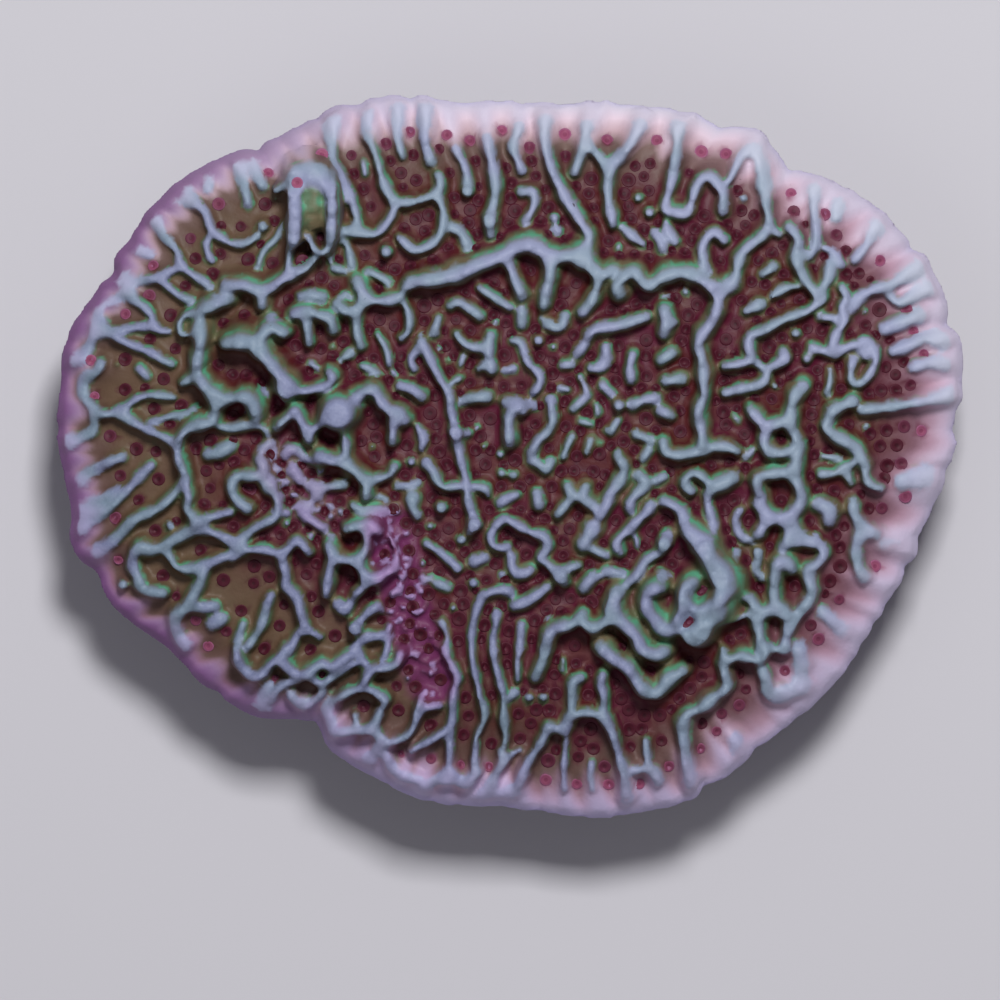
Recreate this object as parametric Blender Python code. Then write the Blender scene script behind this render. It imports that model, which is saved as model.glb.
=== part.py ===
"""Montipora coral: one ridged, encrusting plate of stony coral on a flat cut foot.

The colony is a single growth. A plate with a rounded margin rises towards its middle, and long
meandering ridges, short bars and knobs stand on it. All of them are fused into one solid.
"""
import math

import bmesh
import bpy
from mathutils import Vector

# Driving sizes, in metres
COLONY_LENGTH = 0.058
FOOT_RADIUS = 0.011
LIP_HEIGHT = 0.0080
ROOT_DEPTH = 0.0007
FOOT_EXCESS = 0.0010
CREST_SPACING = 0.0004
VOXEL = 0.00026

# Counts and shares
SPOKES = 300
KNOB_SPREAD = 1.15
KNOB_SUBDIVISIONS = 3
SOFTENING = 0.5
SOFTENING_ROUNDS = 2
TRIANGLE_TARGET = 9600

# Moist tissue over limestone: its mean colour and how matt it is
TISSUE_COLOUR = (0.22, 0.16, 0.17, 1.0)
TISSUE_ROUGHNESS = 0.45

# The colony was laid out by eye on a drawing grid seen from above, x to the right and y downwards.
# It spans 910 steps of that grid, which sets the length of one step.
GRID_SPAN = 910
STEP = COLONY_LENGTH / GRID_SPAN
GRID_MIDDLE = (510.5, 456.5)
MM = 0.001

# Height of the plate's upper face above the lip, by the way in from the margin
DOME = ((0.0, 0.0), (0.5, 0.75), (1.2, 1.1), (3.0, 1.9), (6.0, 2.6), (9.0, 3.3), (12.0, 3.9), (40.0, 4.1))

# Rings of the upper face: share of the way from the margin to the middle
DOME_SHARES = (0.005, 0.02, 0.05, 0.1, 0.17, 0.25, 0.34, 0.45, 0.6, 0.8, 0.95)

# Underside from the margin to the foot: share of the way, and height
UNDERSIDE = ((0.0, 8.0), (0.03, 7.3), (0.08, 7.0), (0.3, 6.5), (0.55, 5.7), (0.75, 4.4), (0.9, 2.6),
             (1.0, 1.2))

# Ridge cross-section: side in half widths, rise in heights
ARCH = ((-1.45, 0.0), (-1.12, 0.3), (-0.95, 0.65), (-0.68, 0.88), (-0.3, 0.98), (0.0, 1.0),
        (0.3, 0.98), (0.68, 0.88), (0.95, 0.65), (1.12, 0.3), (1.45, 0.0))
ROUND_END = ((0.5, 0.86, 0.95), (0.95, 0.45, 0.72))

MARGIN = """
230,151 240,147 250,147 257,149 262,141 270,137 280,133 290,127 300,121 310,117 317,115 325,108 335,103
345,101 355,102 360,102 367,96 380,95 390,92 400,93 410,95 420,92 430,94 440,97 450,99 480,99 490,98
500,97 510,97 517,100 522,102 530,99 540,99 550,100 558,101 567,99 580,99 590,98 600,100 607,97 620,100
632,100 640,103 652,105 662,103 672,104 680,109 690,110 697,109 705,114 715,119 722,124 735,122 748,123
758,126 766,131 770,137 772,143 780,149 787,158 790,165 792,169 800,167 810,169 820,173 830,177 838,180
843,185 855,188 862,195 872,200 880,205 888,211 893,219 901,228 910,237 915,248 922,249 928,253 932,260
935,270 940,278 946,290 950,302 951,313 949,324 956,328 962,335 965,345 966,360 966,375 965,388 966,397
963,403 960,410 960,418 957,430 961,440 961,446 957,453 955,460 952,466 948,470 948,480 945,490 940,498
936,506 935,515 930,524 924,532 920,537 921,545 920,555 915,562 909,567 908,577 903,585 896,593 892,602
888,610 884,618 877,625 873,632 868,640 863,645 858,660 852,668 846,675 840,681 832,690 826,696 818,704
812,711 805,715 798,721 790,728 783,735 775,742 765,748 757,751 751,759 745,766 737,771 731,777 724,783
715,787 704,788 702,794 697,800 690,804 680,807 668,810 655,812 640,815 625,817 612,820 600,820 588,821
575,819 560,817 545,815 530,813 515,811 502,808 490,809 478,809 465,808 450,808 435,805 420,802 412,799
400,794 388,788 375,780 362,774 350,767 338,759 330,753 323,744 321,737 318,729 314,723 305,723 297,721
285,721 272,721 260,720 250,717 240,712 230,706 222,701 216,695 206,690 198,684 190,676 182,667 175,659
168,651 160,645 150,638 138,630 128,624 120,616 110,607 102,597 97,588 95,578 90,570 81,564 74,556 69,548
67,540 67,530 69,520 68,510 67,500 64,490 62,480 60,470 58,460 56,450 54,435 54,420 56,400 56,385 58,370
59,358 61,345 66,332 72,320 80,308 88,299 94,290 98,282 108,276 112,270 111,260 115,251 122,244 128,238
133,226 140,216 145,209 152,203 160,195 170,184 180,177 190,170 200,165 210,159 220,155
"""

# Ridges: height in millimetres, half width in grid steps, and the route of the crest
NORTH_WEST_RIM = (
    (1.0, 4.5, "147,212 156,222 162,236 172,246 178,256 180,266 190,275 204,284 210,288"),
    (1.1, 4.5, "192,203 203,212 208,224 212,233 222,240 230,245 243,246 252,242 257,238"),
    (0.9, 3.5, "210,236 206,246 208,256 212,262"),
    (0.6, 4, "147,212 158,207 168,203 180,202 192,203"),
    (0.6, 4, "168,203 171,192 170,186"),
    (0.6, 4, "189,201 188,188 190,176"),
    (0.6, 4, "207,190 209,178 207,170"),
    (0.6, 4, "130,244 140,251 150,256"),
    (0.8, 4.5, "236,163 241,178 245,192 248,205"),
    (0.8, 5, "251,163 256,176 262,187"),
)
FINGER_LOBE = (
    (4.1, 17, "297,180 309,177 321,181"),
    (4.1, 9.5, "294,190 295,206 295,224 294,243"),
    (4.1, 8, "330,188 332,204 332,224 330,243"),
    (2.8, 13, "313,198 313,212 314,226"),
    (3.0, 4.5, "309,236 313,248 320,255 329,252"),
    (2.2, 4.5, "290,250 289,262 289,272"),
    (2.2, 4.5, "316,258 308,266 297,272"),
    (2.6, 5, "276,192 284,188"),
    (0.7, 3.5, "283,226 276,240 264,252 258,268"),
)
NORTH_RIM = (
    (1.4, 5, "331,118 330,135 332,152 336,168 343,182 349,195 353,208 357,222 355,232"),
    (1.6, 5.5, "368,112 366,130 372,148 377,162 381,178 386,192 393,203 393,214 386,226 376,236 362,235"
               " 348,233 338,234"),
    (0.9, 4, "363,163 365,175"),
    (1.0, 5, "397,108 396,128 398,145 402,158"),
    (1.5, 5, "393,204 407,205 420,202 433,197 440,188 438,178"),
    (1.5, 5, "437,198 442,210 443,225 438,240 427,249 413,252 399,240"),
    (0.9, 4, "337,240 345,243 349,255 352,268"),
    (0.9, 4, "331,245 330,262"),
    (0.9, 4, "334,270 345,273"),
    (1.3, 5.5, "425,105 423,128 425,148 430,163"),
    (1.2, 5, "455,150 463,166 467,180 467,195"),
    (1.6, 6, "486,140 490,158 493,175 495,192 493,206 489,220 490,236"),
    (1.1, 5, "519,128 512,148 516,160 521,172"),
    (1.8, 6, "545,118 544,138 547,156 551,172 558,186 565,200 574,214 583,228 589,240 584,254 581,264"),
    (1.1, 5, "521,194 532,194 534,204 531,213 525,222"),
    (1.0, 5, "450,229 460,234 467,247"),
    (1.5, 6, "586,128 584,145 579,160 574,174"),
    (1.5, 6, "588,148 598,158 606,170"),
    (1.7, 6.5, "639,128 630,145 620,158 611,168 607,185 608,205 612,226"),
    (1.6, 6, "678,128 677,148 674,165 671,182 667,198 664,211 674,214 686,215 691,203 695,190 702,180"
             " 710,178 717,187 722,195 722,212"),
    (1.3, 5, "721,190 729,181 735,169 741,157 752,149"),
    (1.7, 6, "758,152 762,168 764,188 765,206 768,224 763,236 752,245 742,254 737,266 735,278 728,288"
             " 718,294"),
    (1.2, 5, "768,228 778,236"),
    (1.6, 6, "723,242 714,234 706,240 701,252 703,264 706,272"),
    (0.9, 4, "622,229 632,239 643,246"),
    (0.9, 4.5, "654,234 659,243 662,250"),
    (1.0, 5, "665,223 667,234 674,243"),
)
EAST_RIM = (
    (1.0, 4.5, "815,188 813,208 815,228 815,245 808,258 800,251"),
    (0.9, 4, "824,249 835,256 842,267"),
    (0.7, 5, "838,205 836,218"),
    (1.1, 5.5, "882,222 872,236 864,249 854,261"),
    (1.2, 6, "925,266 907,277 890,287 874,291 861,298 852,309"),
    (1.0, 5.5, "945,284 922,292 906,302 896,304 888,295"),
    (1.0, 7, "917,318 901,324 884,331"),
    (1.0, 6.5, "942,340 925,338 910,346 892,353"),
    (0.8, 6, "945,366 930,364 912,369"),
    (1.3, 6, "955,396 932,402 906,406 882,410 861,412"),
    (0.7, 9, "938,478 920,480 902,483"),
    (0.6, 9, "912,538 898,540 884,544"),
    (0.6, 6, "821,613 833,623 844,632"),
)
WEST_RIM = (
    (0.8, 4, "94,297 103,303 118,300 127,291 127,282"),
    (0.9, 4.5, "112,276 128,281 145,282 158,279 172,272 182,268"),
    (1.0, 4, "158,280 168,289 178,297 190,303"),
    (1.0, 4.5, "128,291 132,300 143,308 151,316 153,326 160,332 168,333"),
    (0.9, 4.5, "98,334 115,332 135,329 152,328"),
    (1.0, 5, "97,302 98,314 98,326 93,338 87,350 82,359 71,361"),
    (1.1, 4.5, "112,336 123,343 137,349 150,354 161,361 172,366"),
    (1.0, 5, "100,366 96,374 85,379 82,388 84,400 92,408 94,420 92,432 78,440 62,446"),
    (1.2, 4.5, "94,414 107,416 120,413 130,405 142,398 158,397 174,399"),
    (1.4, 5.5, "118,414 130,422 142,429 155,435 166,440 176,446"),
    (0.6, 3, "150,424 162,420 174,417 186,415 196,408"),
    (0.8, 5, "139,370 147,378"),
)
WEST_LEDGE = (
    (2.6, 8, "228,300 214,307 202,314 200,328 201,342 199,356 197,370 201,382 210,393 220,401 232,400"
             " 245,399 253,405 257,416"),
    (2.2, 6, "218,402 215,414 212,424 200,426 188,431 180,440 177,452 180,464 185,475 186,487 189,499"
             " 187,509 193,518 199,527"),
    (1.6, 3.5, "197,313 184,318 179,328 182,336 193,336"),
    (1.8, 6, "197,373 190,381 182,385"),
    (1.2, 5, "218,428 232,430 245,427 258,427 265,431 268,436"),
    (1.0, 6, "208,456 218,455 230,448"),
    (2.2, 6, "226,287 245,287 258,292 270,290 283,281 297,274 308,267"),
    (2.0, 7, "262,292 262,306"),
)
MIDDLE_WEST = (
    (1.4, 6, "300,298 310,297 321,299"),
    (1.9, 6, "294,316 306,313 319,317 330,321 333,332"),
    (1.7, 5.5, "306,315 307,330 309,345"),
    (3.2, 9, "226,345 242,344 256,348 266,360 276,372 284,384 286,397"),
    (2.6, 7, "256,345 264,335 272,329 284,335"),
    (2.4, 6, "284,390 300,393 315,391 327,387 333,380 330,374"),
    (0.8, 4, "311,365 318,370"),
    (0.6, 4, "260,390 272,396"),
    (2.4, 6, "277,428 288,419 295,412 302,424 308,436 310,441"),
    (2.2, 5, "308,434 318,428 326,418"),
    (2.2, 6, "344,436 346,448 345,460"),
    (2.2, 6.5, "357,400 364,393 374,392 380,402 388,411 399,414 404,421"),
    (2.0, 5.5, "394,415 393,428 392,443"),
    (1.8, 6, "357,283 361,292 364,301 357,312 345,313 337,306"),
    (1.5, 5.5, "357,313 356,328 358,340 361,348"),
    (1.9, 6, "364,300 378,303 392,302 402,297 405,289 413,284"),
    (1.4, 4.5, "402,301 407,312 409,325 407,335 401,340"),
    (0.8, 4, "340,300 346,296 352,298"),
    (1.0, 4.5, "368,273 380,279 388,284"),
    (0.9, 5, "342,360 351,355"),
    (0.8, 4, "362,367 371,371"),
    (1.1, 4, "377,336 383,345 387,355 389,366"),
    (1.5, 6, "400,388 411,391 421,398"),
    (1.0, 4.5, "414,371 410,362 416,353 423,346"),
    (0.9, 4.5, "262,450 273,444"),
    (0.9, 5, "285,457 290,450 298,452"),
    (0.9, 5, "305,459 318,464"),
)
CENTRE_LEDGE = (
    (2.3, 8, "413,284 425,283 440,281 455,277 470,271 480,266 492,262 505,256 516,249 530,247 540,252"
             " 551,259 566,258 582,258 590,268 600,276 612,272"),
    (1.9, 6, "506,260 511,272 515,284 521,297"),
    (2.0, 7, "549,264 549,280 545,295 543,307"),
    (1.8, 6, "594,272 597,284 594,296 589,306 582,314"),
    (2.3, 7, "618,294 616,288 622,280 632,273 640,282 649,288 660,280 675,275 690,276 703,283 717,293"),
)
CENTRE = (
    (1.3, 5, "479,290 490,297 500,304 509,309"),
    (1.1, 5, "521,312 521,326"),
    (1.2, 5, "450,308 457,304 468,310 479,318"),
    (1.0, 5, "438,320 434,334"),
    (1.4, 4.5, "456,336 463,345 474,350 486,349"),
    (1.6, 6, "490,338 488,350 489,362 491,372"),
    (1.3, 5, "488,364 478,371"),
    (0.9, 4, "463,358 460,366"),
    (0.7, 3.5, "505,372 513,370"),
    (0.9, 4, "512,342 519,343 523,351"),
    (1.2, 4.5, "524,357 528,366 536,373 540,380 537,390 533,394"),
    (1.1, 5, "547,326 555,330 562,327 564,318"),
    (1.6, 6, "588,337 596,331 612,329 628,325 645,319"),
    (1.2, 6, "577,355 584,346"),
    (1.2, 6, "605,350 605,361 600,370 590,370"),
    (0.9, 5, "562,367 571,366"),
    (1.0, 4.5, "579,378 584,387 587,397"),
    (0.8, 4, "559,389 567,391"),
    (1.0, 5, "573,410 581,403"),
    (0.8, 4, "596,406 597,415"),
    (0.8, 4, "580,422 592,426"),
    (1.0, 5, "602,387 610,395"),
    (1.5, 5, "421,344 427,356 432,366 438,378 444,388 449,398 450,410 452,420 455,432 457,445 460,460"
             " 464,475 467,486 467,498 470,511 474,523 469,533"),
    (1.1, 4, "447,391 452,384 459,380"),
    (1.3, 5, "455,434 468,435"),
    (1.3, 6.5, "472,400 486,399"),
    (0.7, 3.5, "461,403 470,400"),
    (2.2, 7, "509,443 508,430 509,418 516,408 522,412"),
    (1.6, 6, "505,404 518,404"),
    (0.8, 4, "525,404 534,408"),
    (1.3, 5, "550,402 551,413 552,424 547,434 538,442 531,454"),
    (1.1, 4.5, "572,437 567,447 563,458"),
    (1.0, 5, "590,442 586,453"),
    (1.2, 5, "417,428 423,440 421,450"),
)
EAST_CENTRE = (
    (1.9, 7, "663,312 665,324 663,335"),
    (1.5, 6, "632,356 629,368 630,381"),
    (1.4, 6.5, "660,362 671,355"),
    (1.3, 6, "665,383 680,381"),
    (1.3, 6, "632,407 643,402 655,400"),
    (1.4, 6, "660,413 670,418"),
    (1.1, 5, "635,436 650,442"),
    (1.0, 5, "648,452 642,460"),
    (1.0, 4.5, "617,422 610,433"),
    (2.2, 6.5, "718,294 717,305 714,317 708,328 701,337 697,347 700,358 702,372 702,385 703,397 699,407"
               " 697,415 699,426 701,438 701,450"),
    (1.8, 6, "662,443 665,454 677,457 690,455 702,453 716,448 728,449 736,453"),
    (1.6, 5, "724,368 738,366 750,361 747,349 749,338 764,332 780,323 795,317 808,312 820,302"),
    (1.4, 5.5, "724,395 740,391 755,388 764,382 767,372 774,367 784,362 782,354"),
    (1.0, 4, "751,361 761,369 768,371"),
    (1.2, 5.5, "745,313 760,306"),
    (1.3, 4.5, "771,298 785,290 798,288"),
    (1.2, 5.5, "762,276 772,269"),
    (0.6, 4, "733,416 737,422"),
    (2.0, 6, "749,411 757,421 764,432 762,444 768,453 780,455 793,452"),
    (2.0, 7, "764,428 778,425 788,421 790,409 794,397 801,387"),
    (1.8, 6, "788,422 790,431"),
    (1.9, 7, "794,437 797,450 795,464 793,478 798,490 800,503 792,515 786,522"),
    (2.0, 7, "790,474 772,475 758,478 756,488 760,497"),
    (0.8, 4.5, "745,458 753,450"),
)
EAST = (
    (1.8, 6, "788,229 797,241 795,258 800,274 809,288 819,299"),
    (1.3, 6, "830,266 828,278 822,291 819,300"),
    (1.5, 5, "841,290 846,299 841,310 845,322 837,333 832,345 834,356"),
    (1.3, 5, "820,318 831,320 843,323"),
    (1.3, 5.5, "834,356 824,353 811,350"),
    (1.4, 5, "834,356 845,350 856,347 865,358"),
    (1.4, 5, "862,341 872,350 875,362 868,377 858,386 850,382 850,371 852,362"),
    (1.0, 4.5, "829,371 829,383 826,394"),
    (1.7, 6, "851,403 840,408 831,413 828,421 824,428 832,437 843,443 853,449 860,458 864,468 865,480"
             " 871,487 880,490"),
    (1.3, 5, "820,476 832,475 843,470 852,465 858,459"),
    (1.2, 5, "845,473 850,484"),
    (0.6, 3, "822,457 838,460"),
    (1.4, 8, "819,506 828,512 828,522"),
    (1.2, 7, "852,502 853,514 858,524 865,531 874,535"),
    (1.1, 7, "861,536 856,546 856,558 858,569 863,578"),
    (1.7, 6.5, "798,540 811,544 820,547 823,556 817,565 809,571 808,582 811,592 809,601 802,610 796,618"),
    (1.3, 5, "815,537 820,546"),
)
SOUTH_WEST = (
    (0.9, 6, "121,459 108,464 96,470 86,475 78,484"),
    (0.8, 6, "117,492 103,500 90,507 76,514"),
    (1.0, 5, "151,467 141,477 131,488 121,498 111,507 99,516 88,523 77,530"),
    (1.5, 6, "186,480 179,489 171,499 161,508 151,514 140,518 131,524"),
    (1.0, 6, "131,524 120,536 112,543 102,550 95,555"),
    (1.5, 6.5, "193,532 183,537 172,543 162,549 150,552 140,550 133,557 132,568 137,579 140,588 149,593"
               " 162,595"),
    (1.5, 5.5, "165,551 171,560 176,568 186,571 198,569 210,565 221,560 233,555"),
    (1.4, 5, "199,526 205,521 217,517 230,514"),
    (1.4, 5, "199,531 205,532 217,536 230,542"),
    (1.6, 6, "203,571 201,582 196,592 190,602 184,611 175,620 177,634 183,647"),
    (1.2, 6, "192,608 203,609 214,608"),
    (0.9, 6, "212,625 222,620"),
    (1.6, 6, "260,461 264,470 260,477 247,478 238,477 232,485 232,494 238,503 247,510"),
    (1.4, 7, "265,478 268,489"),
    (1.4, 5, "270,482 274,493 278,505 278,515 271,522 262,526 253,531 246,537 238,542 228,541"),
    (0.7, 2.5, "268,480 280,480 288,484"),
    (1.6, 5, "233,545 248,551 263,551 274,554 282,555 290,549 297,541 303,547 309,554"),
    (1.3, 5, "245,551 238,556 232,560"),
    (1.7, 6, "282,556 283,566 286,577 285,587 291,593 297,601 299,610 302,621 305,631"),
    (1.5, 5, "304,632 298,635 294,643 291,651"),
    (1.3, 4, "305,631 312,634 319,638"),
    (1.4, 5.5, "271,597 267,606 264,618 260,629 254,639 247,649"),
    (0.9, 5, "243,625 238,640 236,650"),
)
RING_KNOB = (
    (2.4, 6, "347,530 358,527 371,526 379,533"),
    (2.2, 6, "366,533 367,544 364,554 357,561"),
    (2.2, 6, "329,547 335,558 345,561 357,564 363,573 367,582"),
    (2.2, 6, "332,562 329,574 327,587 326,596"),
    (2.0, 6, "367,581 376,580 385,574 393,570"),
    (2.0, 5, "366,583 363,589 356,595"),
    (1.2, 3, "388,534 394,547 397,560 395,570"),
    (1.3, 6, "338,606 344,612 352,602"),
    (1.3, 5, "353,630 361,621 369,613 377,608"),
    (1.3, 5, "390,626 385,636 372,638 361,641 353,649"),
    (1.2, 4, "388,637 387,650"),
    (2.4, 6.5, "320,458 332,462 344,465 354,471 361,478 367,485 366,497"),
    (1.6, 5, "367,482 379,480 390,476 394,468"),
    (0.8, 3.5, "371,499 380,497 387,501"),
    (1.2, 6, "353,507 362,512 373,511 385,512"),
    (1.0, 5, "322,490 332,488 343,486"),
    (0.8, 5, "312,487 319,497"),
    (0.8, 4.5, "292,467 297,477 301,483"),
    (0.7, 5, "302,506 311,509"),
    (1.0, 5, "303,515 313,523 324,530"),
    (0.7, 4, "398,487 410,486 418,483"),
    (1.1, 6, "412,499 412,509 417,517"),
)
SOUTH_CENTRE = (
    (1.4, 5.5, "426,465 433,474 437,483 444,489 455,488 467,487"),
    (1.2, 4.5, "467,488 476,488 485,490 488,496"),
    (1.1, 4.5, "426,545 437,552 447,560 457,569"),
    (1.3, 5, "502,521 495,528 490,537 492,546 501,550 507,548"),
    (1.7, 5.5, "504,519 514,525 524,531 534,535 543,538 547,545 544,554 539,559 547,565 554,572 559,580"
               " 564,584"),
    (1.5, 5, "559,572 569,569 577,567"),
    (1.3, 6, "511,558 511,567 516,575 525,574 530,571"),
    (1.0, 5.5, "474,563 484,559"),
    (0.9, 5, "437,584 447,589"),
    (1.2, 5, "482,597 493,593 503,591 510,594"),
    (1.0, 4, "481,600 476,611 473,623 471,635 471,650"),
    (1.4, 6, "514,607 524,604 534,598 542,592 547,588"),
    (1.0, 5, "500,504 509,499 516,496"),
    (1.3, 6, "536,495 538,506"),
    (1.0, 4.5, "530,462 539,466 546,473 550,463"),
    (1.6, 6, "567,488 572,497 580,497 585,488"),
    (1.4, 6, "570,501 563,509 557,516"),
    (1.6, 6, "580,499 587,503 594,509 600,516 606,505 609,496 616,486 622,477 623,468 617,460"),
    (1.5, 8, "592,530 583,546"),
    (1.1, 5, "593,551 606,557"),
    (1.3, 6.5, "583,589 592,578"),
    (0.8, 3.5, "595,579 609,572"),
    (0.9, 4.5, "496,615 495,628 492,640 493,652"),
    (0.9, 4.5, "521,626 520,637 519,650"),
    (0.8, 4, "441,623 447,637 446,650"),
    (2.0, 6.5, "545,648 548,637 554,630 566,627 575,623 582,615"),
    (2.4, 6.5, "578,621 592,629 601,625 609,619 611,607 613,597"),
)
SOUTH_EAST = (
    (1.3, 6, "638,477 645,484 641,491 633,498 629,505 629,511"),
    (0.9, 4.5, "656,482 663,478"),
    (1.5, 5.5, "650,507 645,515 636,523 628,531 620,538 615,546 619,553"),
    (0.8, 3, "628,531 635,538 637,547"),
    (1.6, 5, "707,484 699,477 691,475 685,480 684,487 690,493"),
    (1.7, 8, "712,489 722,485 731,480"),
    (1.4, 5, "710,490 706,500 708,512 712,523 713,532"),
    (1.9, 6, "663,503 674,508 681,515 683,525"),
    (2.8, 9, "683,525 687,532 694,539 702,547"),
    (3.5, 13, "702,547 706,557 712,566 719,576"),
    (4.0, 14, "719,578 724,589 718,601 713,613 706,624 698,634"),
    (3.5, 8.5, "692,586 684,588 681,597 685,607 692,613 702,616"),
    (3.5, 8, "683,614 678,623 684,632 693,637 702,634"),
    (2.8, 8.5, "658,589 649,592 645,602 647,611 654,620 662,630 669,632 674,626"),
    (1.5, 5.5, "667,537 664,546 660,553 651,558 644,563 640,571 635,578 627,585"),
    (0.9, 5, "660,575 668,577"),
    (1.0, 4.5, "606,572 622,575"),
    (2.6, 8, "618,593 612,603 613,615 621,623 629,630 636,638 641,650 655,656 663,653"),
    (0.9, 4.5, "740,511 735,518 735,527"),
    (0.9, 5, "737,533 743,540 750,541"),
    (1.0, 4.5, "757,553 757,562 755,570 761,579"),
    (1.7, 7, "757,505 763,513 764,523 758,535"),
    (1.7, 7, "765,522 776,520 788,524 791,534 787,543 782,548"),
    (1.5, 6, "791,541 800,541"),
    (2.0, 7, "791,570 784,563 776,567 774,578 773,590 774,602 779,611"),
    (1.7, 6, "741,598 749,600 753,607 754,614"),
    (1.3, 3.5, "754,615 743,617 732,623 725,627"),
    (1.2, 3, "718,600 719,612 722,622"),
    (1.8, 6, "755,617 757,628 759,639 759,650"),
    (1.8, 6.5, "757,616 769,612 780,612 787,619 788,629 785,639 784,650"),
    (1.6, 6, "800,612 794,621 788,629"),
    (0.6, 3, "722,560 732,566 739,573 744,582"),
)
SOUTH_RIM_WEST = (
    (2.2, 6, "236,650 238,662 245,672 254,678 263,675 270,666 279,658 286,651"),
    (2.2, 6, "280,660 288,669 297,675 307,675 315,669 322,665 332,668 342,661 352,655"),
    (1.8, 5, "314,682 322,685 330,680 340,673 350,667 358,664"),
    (1.6, 5, "353,649 357,651 361,658 367,666"),
    (1.4, 4, "387,650 383,660 384,668"),
    (2.2, 5.5, "400,655 397,664 386,669 373,670 366,679 360,689 350,692 340,698 331,703 326,712 329,719"),
    (1.8, 5, "362,689 372,692 380,697 385,702 380,712 376,722 373,731"),
    (2.0, 5, "323,724 331,732 341,733 351,732 361,732 372,731 381,740 388,744 399,741 408,736 414,726"
             " 417,713 420,702"),
    (1.4, 4, "354,716 356,725 354,731"),
    (1.6, 5.5, "381,744 374,754 366,763 354,768"),
    (2.0, 6, "386,757 391,767 398,776 408,779 418,780"),
    (1.6, 4.5, "411,752 420,747 428,743 437,738 445,732"),
    (1.8, 5, "291,697 296,703 304,706 312,703 318,698 323,692"),
    (1.6, 4.5, "272,699 277,691 286,685 297,682"),
    (0.9, 5, "262,708 265,697 268,686"),
)
SOUTH_RIM = (
    (1.4, 5, "444,650 448,660 453,669 457,679 454,691 452,704 452,718 450,729 449,742 449,756 448,770"
             " 449,779"),
    (1.5, 4.5, "471,650 472,661 474,673 477,685 479,697 483,708 484,718 481,728 476,738 475,750 474,763"
               " 474,774"),
    (1.5, 5, "493,650 494,662 497,674 500,686 503,697 503,710 503,722 505,735 504,747"),
    (0.8, 4, "503,697 509,699 514,694"),
    (1.3, 5, "500,752 503,762 498,771 493,781 489,791 484,800 480,806"),
    (0.8, 4, "505,760 512,755 520,750"),
    (1.4, 5, "519,650 517,661 517,672 517,681"),
    (1.7, 6, "545,650 542,661 538,671 535,678"),
    (1.3, 5, "419,716 423,710 431,708 438,707"),
    (2.0, 6, "421,795 430,784 440,780 452,779 462,784 469,782 476,774"),
    (1.6, 5.5, "500,805 508,796 516,788 521,779 525,769 530,760 536,751 541,743 545,735 548,729 556,730"
               " 563,731 567,723 570,712 571,701 571,691 573,682 580,679"),
    (0.9, 3.5, "566,733 565,746 564,760 563,775 564,790"),
    (1.8, 5.5, "602,676 600,686 603,696 603,707 602,717 594,715 584,714 574,716"),
    (1.8, 5.5, "602,717 607,725 612,736 616,750 620,763 623,775 625,787 626,798"),
    (0.7, 4, "591,764 590,777 592,790"),
    (0.8, 3, "562,660 562,671"),
)
SOUTH_RIM_EAST = (
    (2.2, 7, "600,648 609,657 618,663 626,668 632,676 638,686 645,692 655,695 662,689 668,681 676,676"
             " 682,672"),
    (2.0, 6.5, "722,665 724,676 727,686 722,693 713,699 705,706 697,711 688,714 683,722 682,734 684,747"
               " 686,760 689,773 693,785"),
    (2.2, 5.5, "722,650 723,657 730,660 739,657 748,659 757,661 764,657 766,649 759,650"),
    (1.6, 5, "770,648 777,652 784,649"),
    (1.4, 7, "761,671 765,682 767,692 773,698 782,696 791,692 800,688"),
    (1.2, 5, "645,742 646,755 647,768 640,771 632,772"),
    (1.2, 5, "647,768 653,774 658,782"),
    (0.9, 6, "735,742 734,756 733,770"),
    (1.0, 8, "798,650 800,664 801,678"),
)
RIDGES = (NORTH_WEST_RIM + FINGER_LOBE + NORTH_RIM + EAST_RIM + WEST_RIM + WEST_LEDGE + MIDDLE_WEST
          + CENTRE_LEDGE + CENTRE + EAST_CENTRE + EAST + SOUTH_WEST + RING_KNOB + SOUTH_CENTRE
          + SOUTH_EAST + SOUTH_RIM_WEST + SOUTH_RIM + SOUTH_RIM_EAST)

# Knobs: height in millimetres, radius in grid steps, and the places of those of that size
KNOBS = (
    (3.6, 17, "336,416"),
    (2.2, 9, "489,222 474,526 455,434 560,577 663,545 355,630"),
    (1.6, 7.5, "386,254 784,359 851,403 467,193 618,407 441,509"),
    (1.2, 6.5, "263,228 649,214 538,342 272,318 122,586 757,553 803,388 806,360 457,569 672,324"),
    (0.9, 5.5, "638,199 554,219 203,303 215,297 795,335 501,474 513,476 461,541 473,584 617,455 735,553"),
)


def grid_points(text):
    """Places on the drawing grid, as a list of (x, y) in steps."""
    return [tuple(float(number) for number in pair.split(",")) for pair in text.split()]


def on_plan(point):
    """A place on the drawing grid in metres, with the colony's middle at the origin and north at +Y."""
    return Vector(((point[0] - GRID_MIDDLE[0]) * STEP, (GRID_MIDDLE[1] - point[1]) * STEP, 0.0))


def read_off(table, at):
    """The value of a table of (place, value) pairs at one place, by straight lines between them."""
    for (low, low_value), (high, high_value) in zip(table, table[1:]):
        if at <= high:
            return low_value + (high_value - low_value) * (at - low) / (high - low)
    return table[-1][1]


MARGIN_POLAR = sorted((math.atan2(p.y, p.x), p.length) for p in (on_plan(q) for q in grid_points(MARGIN)))
MARGIN_TABLE = ([(MARGIN_POLAR[-1][0] - math.tau, MARGIN_POLAR[-1][1])] + MARGIN_POLAR
                + [(MARGIN_POLAR[0][0] + math.tau, MARGIN_POLAR[0][1])])


def plate_top(spot):
    """Height of the plate's upper face at a place on the plan."""
    way_in = read_off(MARGIN_TABLE, math.atan2(spot.y, spot.x)) - spot.length
    return LIP_HEIGHT + read_off(DOME, max(way_in, 0.0) / MM) * MM


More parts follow.
